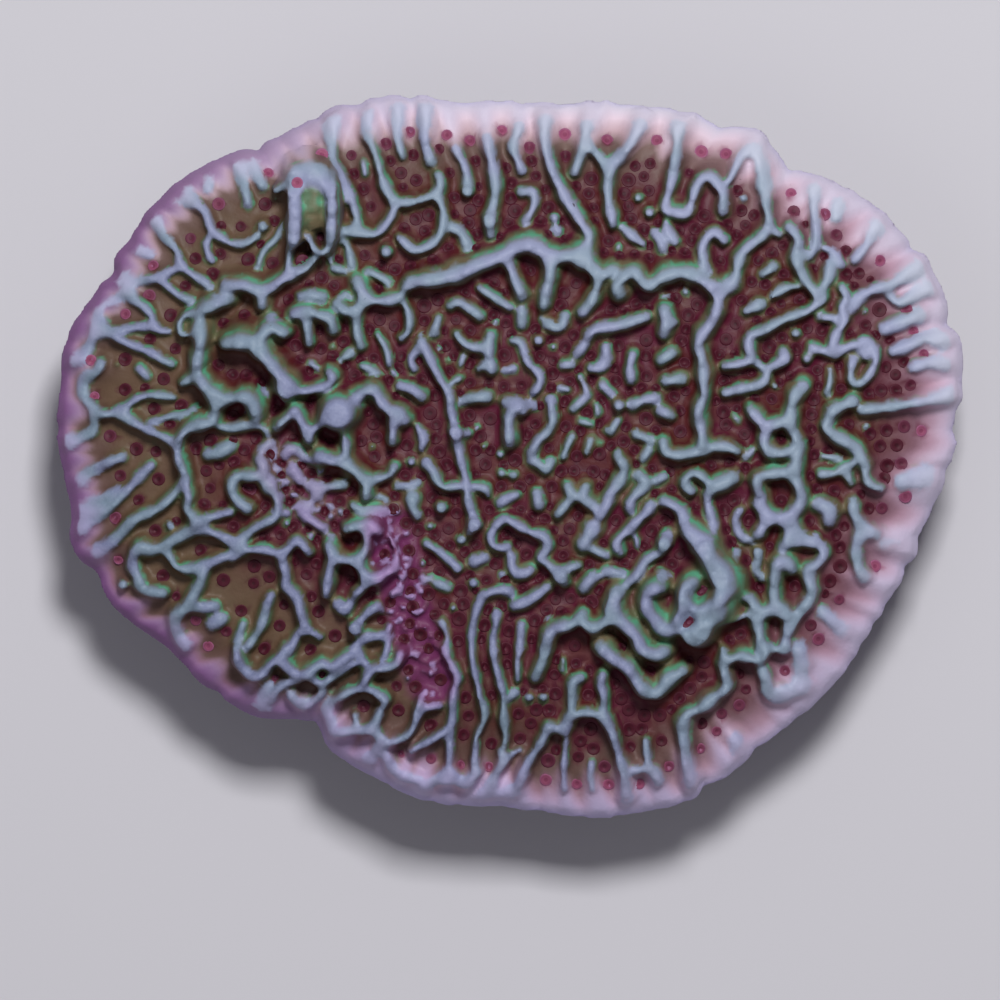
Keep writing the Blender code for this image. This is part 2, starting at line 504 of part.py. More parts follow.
def smooth_route(points, spacing):
    """Points along a smooth curve through a route's own points."""
    route = []
    ends = [points[0] * 2 - points[1]] + points + [points[-1] * 2 - points[-2]]
    for before, start, finish, after in zip(ends, ends[1:], ends[2:], ends[3:]):
        count = max(1, round((finish - start).length / spacing))
        for k in range(count):
            t = k / count
            route.append(0.5 * (2 * start + (finish - before) * t
                                + (2 * before - 5 * start + 4 * finish - after) * t ** 2
                                + (3 * start - before - 3 * finish + after) * t ** 3))
    return route + [points[-1]]


def skin_rings(bm, rings):
    """Closes a run of rings of equal count into one skin, with a flat face at each end."""
    loops = [[bm.verts.new(point) for point in ring] for ring in rings]
    for low, high in zip(loops, loops[1:]):
        for k in range(len(low)):
            j = (k + 1) % len(low)
            bm.faces.new((low[k], low[j], high[j], high[k]))
    bm.faces.new(reversed(loops[0]))
    bm.faces.new(loops[-1])


def add_plate(bm):
    """The plate: cut foot, flared underside, rounded margin and domed upper face."""
    rings = [[] for _ in range(1 + len(UNDERSIDE) + len(DOME_SHARES))]
    for k in range(SPOKES):
        angle = -math.pi + math.tau * k / SPOKES
        ray = Vector((math.cos(angle), math.sin(angle), 0.0))
        reach = read_off(MARGIN_TABLE, angle)
        rings[0].append(ray * FOOT_RADIUS + Vector((0, 0, -FOOT_EXCESS)))
        for ring, (share, height) in zip(rings[1:], reversed(UNDERSIDE)):
            ring.append(ray * (reach + (FOOT_RADIUS - reach) * share) + Vector((0, 0, height * MM)))
        for ring, share in zip(rings[1 + len(UNDERSIDE):], DOME_SHARES):
            spot = ray * reach * (1 - share)
            ring.append(spot + Vector((0, 0, plate_top(spot))))
    skin_rings(bm, rings)


def add_ridge(bm, height, half_width, route):
    """One ridge: an arched section carried along its crest, with a round nose at each end."""
    height *= MM
    half_width *= STEP
    crest = smooth_route([on_plan(p) for p in grid_points(route)], CREST_SPACING)
    start_way = (crest[0] - crest[1]).normalized()
    end_way = (crest[-1] - crest[-2]).normalized()
    stations = [(crest[0] + start_way * half_width * out, -start_way, side, rise)
                for out, side, rise in reversed(ROUND_END)]
    for k, spot in enumerate(crest):
        way = (crest[min(k + 1, len(crest) - 1)] - crest[max(k - 1, 0)]).normalized()
        stations.append((spot, way, 1.0, 1.0))
    stations += [(crest[-1] + end_way * half_width * out, end_way, side, rise)
                 for out, side, rise in ROUND_END]
    rings = []
    for spot, way, side_share, rise_share in stations:
        across = Vector((-way.y, way.x, 0.0))
        floor = plate_top(spot)
        outline = [(side, floor + rise * rise_share * height) for side, rise in ARCH]
        outline += [(side, floor - ROOT_DEPTH) for side in (ARCH[-1][0], ARCH[0][0])]
        rings.append([spot + across * side * side_share * half_width + Vector((0, 0, level))
                      for side, level in outline])
    skin_rings(bm, rings)


def add_knob(bm, height, radius, spot):
    """One rounded knob: half a ball stretched to its height, sunk into the plate."""
    ball = bmesh.ops.create_icosphere(bm, subdivisions=KNOB_SUBDIVISIONS, radius=1.0)
    floor = plate_top(spot)
    for vertex in ball["verts"]:
        reach = vertex.co * KNOB_SPREAD
        rise = height * MM if vertex.co.z > 0 else ROOT_DEPTH
        vertex.co = Vector((spot.x + reach.x * radius * STEP, spot.y + reach.y * radius * STEP,
                            floor + vertex.co.z * rise))


def clear_scene():
    for item in list(bpy.data.objects):
        bpy.data.objects.remove(item)


def coral_material():
    material = bpy.data.materials.new("living_coral_tissue")
    material.use_nodes = True
    shader = material.node_tree.nodes["Principled BSDF"]
    shader.inputs["Base Color"].default_value = TISSUE_COLOUR
    shader.inputs["Roughness"].default_value = TISSUE_ROUGHNESS
    shader.inputs["Metallic"].default_value = 0.0
    return material


def fused(rough):
    """The plate and all that stands on it as one skin, rounded, thinned and cut flat at the foot."""
    remesh = rough.modifiers.new("fuse", "REMESH")
    remesh.mode = "VOXEL"
    remesh.voxel_size = VOXEL
    soften = rough.modifiers.new("soften", "SMOOTH")
    soften.factor = SOFTENING
    soften.iterations = SOFTENING_ROUNDS
    graph = bpy.context.evaluated_depsgraph_get()
    fine = rough.evaluated_get(graph).data
    triangles = sum(len(face.vertices) - 2 for face in fine.polygons)
    thin = rough.modifiers.new("thin", "DECIMATE")
    thin.ratio = TRIANGLE_TARGET / triangles
    graph = bpy.context.evaluated_depsgraph_get()
    mesh = bpy.data.meshes.new_from_object(rough.evaluated_get(graph))
    bm = bmesh.new()
    bm.from_mesh(mesh)
    everything = list(bm.verts) + list(bm.edges) + list(bm.faces)
    cut = bmesh.ops.bisect_plane(bm, geom=everything, plane_co=(0, 0, 0), plane_no=(0, 0, -1),
                                 clear_outer=True)
    rim = [part for part in cut["geom_cut"] if isinstance(part, bmesh.types.BMEdge)]
    bmesh.ops.contextual_create(bm, geom=rim)
    bmesh.ops.triangulate(bm, faces=bm.faces)
    bmesh.ops.recalc_face_normals(bm, faces=bm.faces)
    bm.to_mesh(mesh)
    bm.free()
    return mesh


def build_colony():
    bm = bmesh.new()
    add_plate(bm)
    for height, half_width, route in RIDGES:
        add_ridge(bm, height, half_width, route)
    for height, radius, places in KNOBS:
        for place in grid_points(places):
            add_knob(bm, height, radius, on_plan(place))
    bmesh.ops.recalc_face_normals(bm, faces=bm.faces)
    rough_mesh = bpy.data.meshes.new("colony_rough")
    bm.to_mesh(rough_mesh)
    bm.free()
    rough = bpy.data.objects.new("colony_rough", rough_mesh)
    bpy.context.collection.objects.link(rough)
    colony_mesh = fused(rough)
    bpy.data.objects.remove(rough)
    colony_mesh.name = "coral_colony"
    colony_mesh.materials.clear()
    colony_mesh.materials.append(coral_material())
    colony = bpy.data.objects.new("coral_colony", colony_mesh)
    bpy.context.collection.objects.link(colony)
    colony_mesh.shade_smooth()
    return colony


clear_scene()
build_colony()
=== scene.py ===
# %% [markdown]
# # A ridged Montipora colony
# The real object is one living growth: a plate of limestone skeleton, nearly 6 cm long, that a thin
# skin of coral tissue covers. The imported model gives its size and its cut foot. This lesson models the
# fine surface around that frame: the ridges, the knobs, the hundreds of small calices, and the tissue.

# %% Load the frame
import math
import random

import bmesh
import bpy
import numpy as np
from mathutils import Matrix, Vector, kdtree, noise
from mathutils.bvhtree import BVHTree


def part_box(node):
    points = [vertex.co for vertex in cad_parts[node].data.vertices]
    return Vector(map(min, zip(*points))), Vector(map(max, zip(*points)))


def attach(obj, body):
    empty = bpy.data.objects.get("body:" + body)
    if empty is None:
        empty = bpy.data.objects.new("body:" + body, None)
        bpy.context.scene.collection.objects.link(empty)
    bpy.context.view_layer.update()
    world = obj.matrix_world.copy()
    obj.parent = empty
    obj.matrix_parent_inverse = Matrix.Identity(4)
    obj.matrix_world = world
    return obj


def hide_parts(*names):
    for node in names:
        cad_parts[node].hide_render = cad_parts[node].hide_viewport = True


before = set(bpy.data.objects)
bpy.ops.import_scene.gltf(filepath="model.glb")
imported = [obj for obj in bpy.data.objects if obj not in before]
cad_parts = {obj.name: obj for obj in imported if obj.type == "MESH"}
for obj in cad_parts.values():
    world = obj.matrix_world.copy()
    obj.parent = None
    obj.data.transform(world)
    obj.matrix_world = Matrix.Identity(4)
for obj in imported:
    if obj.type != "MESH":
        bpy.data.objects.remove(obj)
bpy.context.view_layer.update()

NODE = "coral_colony"
LOW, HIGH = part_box(NODE)
print("frame box in mm:", [round((HIGH[k] - LOW[k]) * 1000, 1) for k in range(3)])

# %% [markdown]
# ## The drawing grid
# A natural thing has no dimensions to read off, so its lines are given one by one. Here they are laid out
# on a grid seen from above, x to the right and y downwards, as on a picture. The frame's length divided
# by the number of steps that the colony spans gives the real size of one step, about 0.06 mm, and so
# every line takes its size from the frame and not from a number typed in.

# %% Turn grid places into metres
MM = 0.001
GRID_SPAN = 910
STEP = (HIGH[0] - LOW[0]) / GRID_SPAN
GRID_MIDDLE = (510.5, 456.5)
SEED = 7
random.seed(SEED)


def grid_points(text):
    """Places on the drawing grid, as a list of (x, y) in steps."""
    return [tuple(float(number) for number in pair.split(",")) for pair in text.split()]


def on_plan(point):
    """A place on the drawing grid in metres, seen from above, with north at +Y."""
    return Vector(((point[0] - GRID_MIDDLE[0]) * STEP, (GRID_MIDDLE[1] - point[1]) * STEP, 0.0))


print(f"one grid step is {STEP / MM:.4f} mm")

# %% [markdown]
# ## The margin
# The growing edge of the colony is scalloped: each low fold of the rim ends in a small lobe. It could be
# a circle with noise, but this edge has its own shape, with one deep notch where two lobes overlap. So
# it is a list of places along the edge, about ten grid steps apart.

# %% Pick the margin
MARGIN = """
230,151 240,147 250,147 257,149 262,141 270,137 280,133 290,127 300,121 310,117 317,115 325,108 335,103
345,101 355,102 360,102 367,96 380,95 390,92 400,93 410,95 420,92 430,94 440,97 450,99 480,99 490,98
500,97 510,97 517,100 522,102 530,99 540,99 550,100 558,101 567,99 580,99 590,98 600,100 607,97 620,100
632,100 640,103 652,105 662,103 672,104 680,109 690,110 697,109 705,114 715,119 722,124 735,122 748,123
758,126 766,131 770,137 772,143 780,149 787,158 790,165 792,169 800,167 810,169 820,173 830,177 838,180
843,185 855,188 862,195 872,200 880,205 888,211 893,219 901,228 910,237 915,248 922,249 928,253 932,260
935,270 940,278 946,290 950,302 951,313 949,324 956,328 962,335 965,345 966,360 966,375 965,388 966,397
963,403 960,410 960,418 957,430 961,440 961,446 957,453 955,460 952,466 948,470 948,480 945,490 940,498
936,506 935,515 930,524 924,532 920,537 921,545 920,555 915,562 909,567 908,577 903,585 896,593 892,602
888,610 884,618 877,625 873,632 868,640 863,645 858,660 852,668 846,675 840,681 832,690 826,696 818,704
812,711 805,715 798,721 790,728 783,735 775,742 765,748 757,751 751,759 745,766 737,771 731,777 724,783
715,787 704,788 702,794 697,800 690,804 680,807 668,810 655,812 640,815 625,817 612,820 600,820 588,821
575,819 560,817 545,815 530,813 515,811 502,808 490,809 478,809 465,808 450,808 435,805 420,802 412,799
400,794 388,788 375,780 362,774 350,767 338,759 330,753 323,744 321,737 318,729 314,723 305,723 297,721
285,721 272,721 260,720 250,717 240,712 230,706 222,701 216,695 206,690 198,684 190,676 182,667 175,659
168,651 160,645 150,638 138,630 128,624 120,616 110,607 102,597 97,588 95,578 90,570 81,564 74,556 69,548
67,540 67,530 69,520 68,510 67,500 64,490 62,480 60,470 58,460 56,450 54,435 54,420 56,400 56,385 58,370
59,358 61,345 66,332 72,320 80,308 88,299 94,290 98,282 108,276 112,270 111,260 115,251 122,244 128,238
133,226 140,216 145,209 152,203 160,195 170,184 180,177 190,170 200,165 210,159 220,155
"""

margin_polar = sorted((math.atan2(p.y, p.x), p.length) for p in map(on_plan, grid_points(MARGIN)))
MARGIN_ANGLES = np.array([angle for angle, _ in margin_polar])
MARGIN_REACHES = np.array([reach for _, reach in margin_polar])
print(len(margin_polar), "places on the margin")

# %% [markdown]
# ## The ridges
# Between the calices the skeleton grows up into ridges. On the rim they run outwards like spokes, in the
# middle they break up into bars, hooks and knobs, and two long ledges frame the raised centre. A noise
# texture would give ridges of this kind, but not these ones, so each is a short list of crest places:
# its height above the plate in millimetres, its half width in grid steps, and its route. The finger
# lobe's hollow floor slopes up to its tip, so it is four entries, which are raised as one later on.

# %% Lay out the ridges, region by region
NORTH_WEST_RIM = (
    (1.0, 4.5, "147,212 156,222 162,236 172,246 178,256 180,266 190,275 204,284 210,288"),
    (1.1, 4.5, "192,203 203,212 208,224 212,233 222,240 230,245 243,246 252,242 257,238"),
    (0.9, 3.5, "210,236 206,246 208,256 212,262"),
    (0.6, 4, "147,212 158,207 168,203 180,202 192,203"),
    (0.6, 4, "168,203 171,192 170,186"),
    (0.6, 4, "189,201 188,188 190,176"),
    (0.6, 4, "207,190 209,178 207,170"),
    (0.6, 4, "130,244 140,251 150,256"),
    (0.8, 4.5, "236,163 241,178 245,192 248,205"),
    (0.8, 5, "251,163 256,176 262,187"),
)
FINGER_LOBE = (
    (4.1, 17, "297,180 309,177 321,181"),
    (4.1, 9.5, "294,190 295,206 295,224 294,243"),
    (4.1, 8, "330,188 332,204 332,224 330,243"),
    (3.0, 4.5, "309,236 313,248 320,255 329,252"),
    (2.2, 4.5, "290,250 289,262 289,272"),
    (2.2, 4.5, "316,258 308,266 297,272"),
    (2.6, 5, "276,192 284,188"),
    (0.7, 3.5, "283,226 276,240 264,252 258,268"),
)
NORTH_RIM = (
    (1.4, 5, "331,118 330,135 332,152 336,168 343,182 349,195 353,208 357,222 355,232"),
    (1.6, 5.5, "368,112 366,130 372,148 377,162 381,178 386,192 393,203 393,214 386,226 376,236 362,235"
               " 348,233 338,234"),
    (0.9, 4, "363,163 365,175"),
    (1.0, 5, "397,108 396,128 398,145 402,158"),
    (1.5, 5, "393,204 407,205 420,202 433,197 440,188 438,178"),
    (1.5, 5, "437,198 442,210 443,225 438,240 427,249 413,252 399,240"),
    (0.9, 4, "337,240 345,243 349,255 352,268"),
    (0.9, 4, "331,245 330,262"),
    (0.9, 4, "334,270 345,273"),
    (1.3, 5.5, "425,105 423,128 425,148 430,163"),
    (1.2, 5, "455,150 463,166 467,180 467,195"),
    (1.6, 6, "486,140 490,158 493,175 495,192 493,206 489,220 490,236"),
    (1.1, 5, "519,128 512,148 516,160 521,172"),
    (1.8, 6, "545,118 544,138 547,156 551,172 558,186 565,200 574,214 583,228 589,240 584,254 581,264"),
    (1.1, 5, "521,194 532,194 534,204 531,213 525,222"),
    (1.0, 5, "450,229 460,234 467,247"),
    (1.5, 6, "586,128 584,145 579,160 574,174"),
    (1.5, 6, "588,148 598,158 606,170"),
    (1.7, 6.5, "639,128 630,145 620,158 611,168 607,185 608,205 612,226"),
    (1.6, 6, "678,128 677,148 674,165 671,182 667,198 664,211 674,214 686,215 691,203 695,190 702,180"
             " 710,178 717,187 722,195 722,212"),
    (1.3, 5, "721,190 729,181 735,169 741,157 752,149"),
    (1.7, 6, "758,152 762,168 764,188 765,206 768,224 763,236 752,245 742,254 737,266 735,278 728,288"
             " 718,294"),
    (1.2, 5, "768,228 778,236"),
    (1.6, 6, "723,242 714,234 706,240 701,252 703,264 706,272"),
    (0.9, 4, "622,229 632,239 643,246"),
    (0.9, 4.5, "654,234 659,243 662,250"),
    (1.0, 5, "665,223 667,234 674,243"),
)
EAST_RIM = (
    (1.0, 4.5, "815,188 813,208 815,228 815,245 808,258 800,251"),
    (0.9, 4, "824,249 835,256 842,267"),
    (0.7, 5, "838,205 836,218"),
    (1.1, 5.5, "882,222 872,236 864,249 854,261"),
    (1.2, 6, "925,266 907,277 890,287 874,291 861,298 852,309"),
    (1.0, 5.5, "945,284 922,292 906,302 896,304 888,295"),
    (1.0, 7, "917,318 901,324 884,331"),
    (1.0, 6.5, "942,340 925,338 910,346 892,353"),
    (0.8, 6, "945,366 930,364 912,369"),
    (1.3, 6, "955,396 932,402 906,406 882,410 861,412"),
    (0.7, 9, "938,478 920,480 902,483"),
    (0.6, 9, "912,538 898,540 884,544"),
    (0.6, 6, "821,613 833,623 844,632"),
)
WEST_RIM = (
    (0.8, 4, "94,297 103,303 118,300 127,291 127,282"),
    (0.9, 4.5, "112,276 128,281 145,282 158,279 172,272 182,268"),
    (1.0, 4, "158,280 168,289 178,297 190,303"),
    (1.0, 4.5, "128,291 132,300 143,308 151,316 153,326 160,332 168,333"),
    (0.9, 4.5, "98,334 115,332 135,329 152,328"),
    (1.0, 5, "97,302 98,314 98,326 93,338 87,350 82,359 71,361"),
    (1.1, 4.5, "112,336 123,343 137,349 150,354 161,361 172,366"),
    (1.0, 5, "100,366 96,374 85,379 82,388 84,400 92,408 94,420 92,432 78,440 62,446"),
    (1.2, 4.5, "94,414 107,416 120,413 130,405 142,398 158,397 174,399"),
    (1.4, 5.5, "118,414 130,422 142,429 155,435 166,440 176,446"),
    (0.6, 3, "150,424 162,420 174,417 186,415 196,408"),
    (0.8, 5, "139,370 147,378"),
)
WEST_LEDGE = (
    (2.6, 8, "228,300 214,307 202,314 200,328 201,342 199,356 197,370 201,382 210,393 220,401 232,400"
             " 245,399 253,405 257,416"),
    (2.2, 6, "218,402 215,414 212,424 200,426 188,431 180,440 177,452 180,464 185,475 186,487 189,499"
             " 187,509 193,518 199,527"),
    (1.6, 3.5, "197,313 184,318 179,328 182,336 193,336"),
    (1.8, 6, "197,373 190,381 182,385"),
    (1.2, 5, "218,428 232,430 245,427 258,427 265,431 268,436"),
    (1.0, 6, "208,456 218,455 230,448"),
    (2.2, 6, "226,287 245,287 258,292 270,290 283,281 297,274 308,267"),
    (2.0, 7, "262,292 262,306"),
)
MIDDLE_WEST = (
    (1.4, 6, "300,298 310,297 321,299"),
    (1.9, 6, "294,316 306,313 319,317 330,321 333,332"),
    (1.7, 5.5, "306,315 307,330 309,345"),
    (3.2, 9, "226,345 242,344 256,348 266,360 276,372 284,384 286,397"),
    (2.6, 7, "256,345 264,335 272,329 284,335"),
    (2.4, 6, "284,390 300,393 315,391 327,387 333,380 330,374"),
    (0.8, 4, "311,365 318,370"),
    (0.6, 4, "260,390 272,396"),
    (2.4, 6, "277,428 288,419 295,412 302,424 308,436 310,441"),
    (2.2, 5, "308,434 318,428 326,418"),
    (2.2, 6, "344,436 346,448 345,460"),
    (2.2, 6.5, "357,400 364,393 374,392 380,402 388,411 399,414 404,421"),
    (2.0, 5.5, "394,415 393,428 392,443"),
    (1.8, 6, "357,283 361,292 364,301 357,312 345,313 337,306"),
    (1.5, 5.5, "357,313 356,328 358,340 361,348"),
    (1.9, 6, "364,300 378,303 392,302 402,297 405,289 413,284"),
    (1.4, 4.5, "402,301 407,312 409,325 407,335 401,340"),
    (0.8, 4, "340,300 346,296 352,298"),
    (1.0, 4.5, "368,273 380,279 388,284"),
    (0.9, 5, "342,360 351,355"),
    (0.8, 4, "362,367 371,371"),
    (1.1, 4, "377,336 383,345 387,355 389,366"),
    (1.5, 6, "400,388 411,391 421,398"),
    (1.0, 4.5, "414,371 410,362 416,353 423,346"),
    (0.9, 4.5, "262,450 273,444"),
    (0.9, 5, "285,457 290,450 298,452"),
    (0.9, 5, "305,459 318,464"),
)
CENTRE_LEDGE = (
    (2.3, 8, "413,284 425,283 440,281 455,277 470,271 480,266 492,262 505,256 516,249 530,247 540,252"
             " 551,259 566,258 582,258 590,268 600,276 612,272"),
    (1.9, 6, "506,260 511,272 515,284 521,297"),
    (2.0, 7, "549,264 549,280 545,295 543,307"),
    (1.8, 6, "594,272 597,284 594,296 589,306 582,314"),
    (2.3, 7, "618,294 616,288 622,280 632,273 640,282 649,288 660,280 675,275 690,276 703,283 717,293"),
)
CENTRE = (
    (1.3, 5, "479,290 490,297 500,304 509,309"),
    (1.1, 5, "521,312 521,326"),
    (1.2, 5, "450,308 457,304 468,310 479,318"),
    (1.0, 5, "438,320 434,334"),
    (1.4, 4.5, "456,336 463,345 474,350 486,349"),
    (1.6, 6, "490,338 488,350 489,362 491,372"),
    (1.3, 5, "488,364 478,371"),
    (0.9, 4, "463,358 460,366"),
    (0.7, 3.5, "505,372 513,370"),
    (0.9, 4, "512,342 519,343 523,351"),
    (1.2, 4.5, "524,357 528,366 536,373 540,380 537,390 533,394"),
    (1.1, 5, "547,326 555,330 562,327 564,318"),
    (1.6, 6, "588,337 596,331 612,329 628,325 645,319"),
    (1.2, 6, "577,355 584,346"),
    (1.2, 6, "605,350 605,361 600,370 590,370"),
    (0.9, 5, "562,367 571,366"),
    (1.0, 4.5, "579,378 584,387 587,397"),
    (0.8, 4, "559,389 567,391"),
    (1.0, 5, "573,410 581,403"),
    (0.8, 4, "596,406 597,415"),
    (0.8, 4, "580,422 592,426"),
    (1.0, 5, "602,387 610,395"),
    (1.5, 5, "421,344 427,356 432,366 438,378 444,388 449,398 450,410 452,420 455,432 457,445 460,460"
             " 464,475 467,486 467,498 470,511 474,523 469,533"),
    (1.1, 4, "447,391 452,384 459,380"),
    (1.3, 5, "455,434 468,435"),
    (1.3, 6.5, "472,400 486,399"),
    (0.7, 3.5, "461,403 470,400"),
    (2.2, 7, "509,443 508,430 509,418 516,408 522,412"),
    (1.6, 6, "505,404 518,404"),
    (0.8, 4, "525,404 534,408"),
    (1.3, 5, "550,402 551,413 552,424 547,434 538,442 531,454"),
    (1.1, 4.5, "572,437 567,447 563,458"),
    (1.0, 5, "590,442 586,453"),
    (1.2, 5, "417,428 423,440 421,450"),
)
EAST_CENTRE = (
    (1.9, 7, "663,312 665,324 663,335"),
    (1.5, 6, "632,356 629,368 630,381"),
    (1.4, 6.5, "660,362 671,355"),
    (1.3, 6, "665,383 680,381"),
    (1.3, 6, "632,407 643,402 655,400"),
    (1.4, 6, "660,413 670,418"),
    (1.1, 5, "635,436 650,442"),
    (1.0, 5, "648,452 642,460"),
    (1.0, 4.5, "617,422 610,433"),
    (2.2, 6.5, "718,294 717,305 714,317 708,328 701,337 697,347 700,358 702,372 702,385 703,397 699,407"
               " 697,415 699,426 701,438 701,450"),
    (1.8, 6, "662,443 665,454 677,457 690,455 702,453 716,448 728,449 736,453"),
    (1.6, 5, "724,368 738,366 750,361 747,349 749,338 764,332 780,323 795,317 808,312 820,302"),
    (1.4, 5.5, "724,395 740,391 755,388 764,382 767,372 774,367 784,362 782,354"),
    (1.0, 4, "751,361 761,369 768,371"),
    (1.2, 5.5, "745,313 760,306"),
    (1.3, 4.5, "771,298 785,290 798,288"),
    (1.2, 5.5, "762,276 772,269"),
    (0.6, 4, "733,416 737,422"),
    (2.0, 6, "749,411 757,421 764,432 762,444 768,453 780,455 793,452"),
    (2.0, 7, "764,428 778,425 788,421 790,409 794,397 801,387"),
    (1.8, 6, "788,422 790,431"),
    (1.9, 7, "794,437 797,450 795,464 793,478 798,490 800,503 792,515 786,522"),
    (2.0, 7, "790,474 772,475 758,478 756,488 760,497"),
    (0.8, 4.5, "745,458 753,450"),
)
EAST = (
    (1.8, 6, "788,229 797,241 795,258 800,274 809,288 819,299"),
    (1.3, 6, "830,266 828,278 822,291 819,300"),
    (1.5, 5, "841,290 846,299 841,310 845,322 837,333 832,345 834,356"),
    (1.3, 5, "820,318 831,320 843,323"),
    (1.3, 5.5, "834,356 824,353 811,350"),
    (1.4, 5, "834,356 845,350 856,347 865,358"),
    (1.4, 5, "862,341 872,350 875,362 868,377 858,386 850,382 850,371 852,362"),
    (1.0, 4.5, "829,371 829,383 826,394"),
    (1.7, 6, "851,403 840,408 831,413 828,421 824,428 832,437 843,443 853,449 860,458 864,468 865,480"
             " 871,487 880,490"),
    (1.3, 5, "820,476 832,475 843,470 852,465 858,459"),
    (1.2, 5, "845,473 850,484"),
    (0.6, 3, "822,457 838,460"),
    (1.4, 8, "819,506 828,512 828,522"),
    (1.2, 7, "852,502 853,514 858,524 865,531 874,535"),
    (1.1, 7, "861,536 856,546 856,558 858,569 863,578"),
    (1.7, 6.5, "798,540 811,544 820,547 823,556 817,565 809,571 808,582 811,592 809,601 802,610 796,618"),
    (1.3, 5, "815,537 820,546"),
)
SOUTH_WEST = (
    (0.9, 6, "121,459 108,464 96,470 86,475 78,484"),
    (0.8, 6, "117,492 103,500 90,507 76,514"),
    (1.0, 5, "151,467 141,477 131,488 121,498 111,507 99,516 88,523 77,530"),
    (1.5, 6, "186,480 179,489 171,499 161,508 151,514 140,518 131,524"),
    (1.0, 6, "131,524 120,536 112,543 102,550 95,555"),
    (1.5, 6.5, "193,532 183,537 172,543 162,549 150,552 140,550 133,557 132,568 137,579 140,588 149,593"
               " 162,595"),
    (1.5, 5.5, "165,551 171,560 176,568 186,571 198,569 210,565 221,560 233,555"),
    (1.4, 5, "199,526 205,521 217,517 230,514"),
    (1.4, 5, "199,531 205,532 217,536 230,542"),
    (1.6, 6, "203,571 201,582 196,592 190,602 184,611 175,620 177,634 183,647"),
    (1.2, 6, "192,608 203,609 214,608"),
    (0.9, 6, "212,625 222,620"),
    (1.6, 6, "260,461 264,470 260,477 247,478 238,477 232,485 232,494 238,503 247,510"),
    (1.4, 7, "265,478 268,489"),
    (1.4, 5, "270,482 274,493 278,505 278,515 271,522 262,526 253,531 246,537 238,542 228,541"),
    (0.7, 2.5, "268,480 280,480 288,484"),
    (1.6, 5, "233,545 248,551 263,551 274,554 282,555 290,549 297,541 303,547 309,554"),
    (1.3, 5, "245,551 238,556 232,560"),
    (1.7, 6, "282,556 283,566 286,577 285,587 291,593 297,601 299,610 302,621 305,631"),
    (1.5, 5, "304,632 298,635 294,643 291,651"),
    (1.3, 4, "305,631 312,634 319,638"),
    (1.4, 5.5, "271,597 267,606 264,618 260,629 254,639 247,649"),
    (0.9, 5, "243,625 238,640 236,650"),
)
RING_KNOB = (
    (2.4, 6, "347,530 358,527 371,526 379,533"),
    (2.2, 6, "366,533 367,544 364,554 357,561"),
    (2.2, 6, "329,547 335,558 345,561 357,564 363,573 367,582"),
    (2.2, 6, "332,562 329,574 327,587 326,596"),
    (2.0, 6, "367,581 376,580 385,574 393,570"),
    (2.0, 5, "366,583 363,589 356,595"),
    (1.2, 3, "388,534 394,547 397,560 395,570"),
    (1.3, 6, "338,606 344,612 352,602"),
    (1.3, 5, "353,630 361,621 369,613 377,608"),
    (1.3, 5, "390,626 385,636 372,638 361,641 353,649"),
    (1.2, 4, "388,637 387,650"),
    (2.4, 6.5, "320,458 332,462 344,465 354,471 361,478 367,485 366,497"),
    (1.6, 5, "367,482 379,480 390,476 394,468"),
    (0.8, 3.5, "371,499 380,497 387,501"),
    (1.2, 6, "353,507 362,512 373,511 385,512"),
    (1.0, 5, "322,490 332,488 343,486"),
    (0.8, 5, "312,487 319,497"),
    (0.8, 4.5, "292,467 297,477 301,483"),
    (0.7, 5, "302,506 311,509"),
    (1.0, 5, "303,515 313,523 324,530"),
    (0.7, 4, "398,487 410,486 418,483"),
    (1.1, 6, "412,499 412,509 417,517"),
)
SOUTH_CENTRE = (
    (1.4, 5.5, "426,465 433,474 437,483 444,489 455,488 467,487"),
    (1.2, 4.5, "467,488 476,488 485,490 488,496"),
    (1.1, 4.5, "426,545 437,552 447,560 457,569"),
    (1.3, 5, "502,521 495,528 490,537 492,546 501,550 507,548"),
    (1.7, 5.5, "504,519 514,525 524,531 534,535 543,538 547,545 544,554 539,559 547,565 554,572 559,580"
               " 564,584"),
    (1.5, 5, "559,572 569,569 577,567"),
    (1.3, 6, "511,558 511,567 516,575 525,574 530,571"),
    (1.0, 5.5, "474,563 484,559"),
    (0.9, 5, "437,584 447,589"),
    (1.2, 5, "482,597 493,593 503,591 510,594"),
    (1.0, 4, "481,600 476,611 473,623 471,635 471,650"),
    (1.4, 6, "514,607 524,604 534,598 542,592 547,588"),
    (1.0, 5, "500,504 509,499 516,496"),
    (1.3, 6, "536,495 538,506"),
    (1.0, 4.5, "530,462 539,466 546,473 550,463"),
    (1.6, 6, "567,488 572,497 580,497 585,488"),
    (1.4, 6, "570,501 563,509 557,516"),
    (1.6, 6, "580,499 587,503 594,509 600,516 606,505 609,496 616,486 622,477 623,468 617,460"),
    (1.5, 8, "592,530 583,546"),
    (1.1, 5, "593,551 606,557"),
    (1.3, 6.5, "583,589 592,578"),
    (0.8, 3.5, "595,579 609,572"),
    (0.9, 4.5, "496,615 495,628 492,640 493,652"),
    (0.9, 4.5, "521,626 520,637 519,650"),
    (0.8, 4, "441,623 447,637 446,650"),
    (2.0, 6.5, "545,648 548,637 554,630 566,627 575,623 582,615"),
    (2.4, 6.5, "578,621 592,629 601,625 609,619 611,607 613,597"),
)
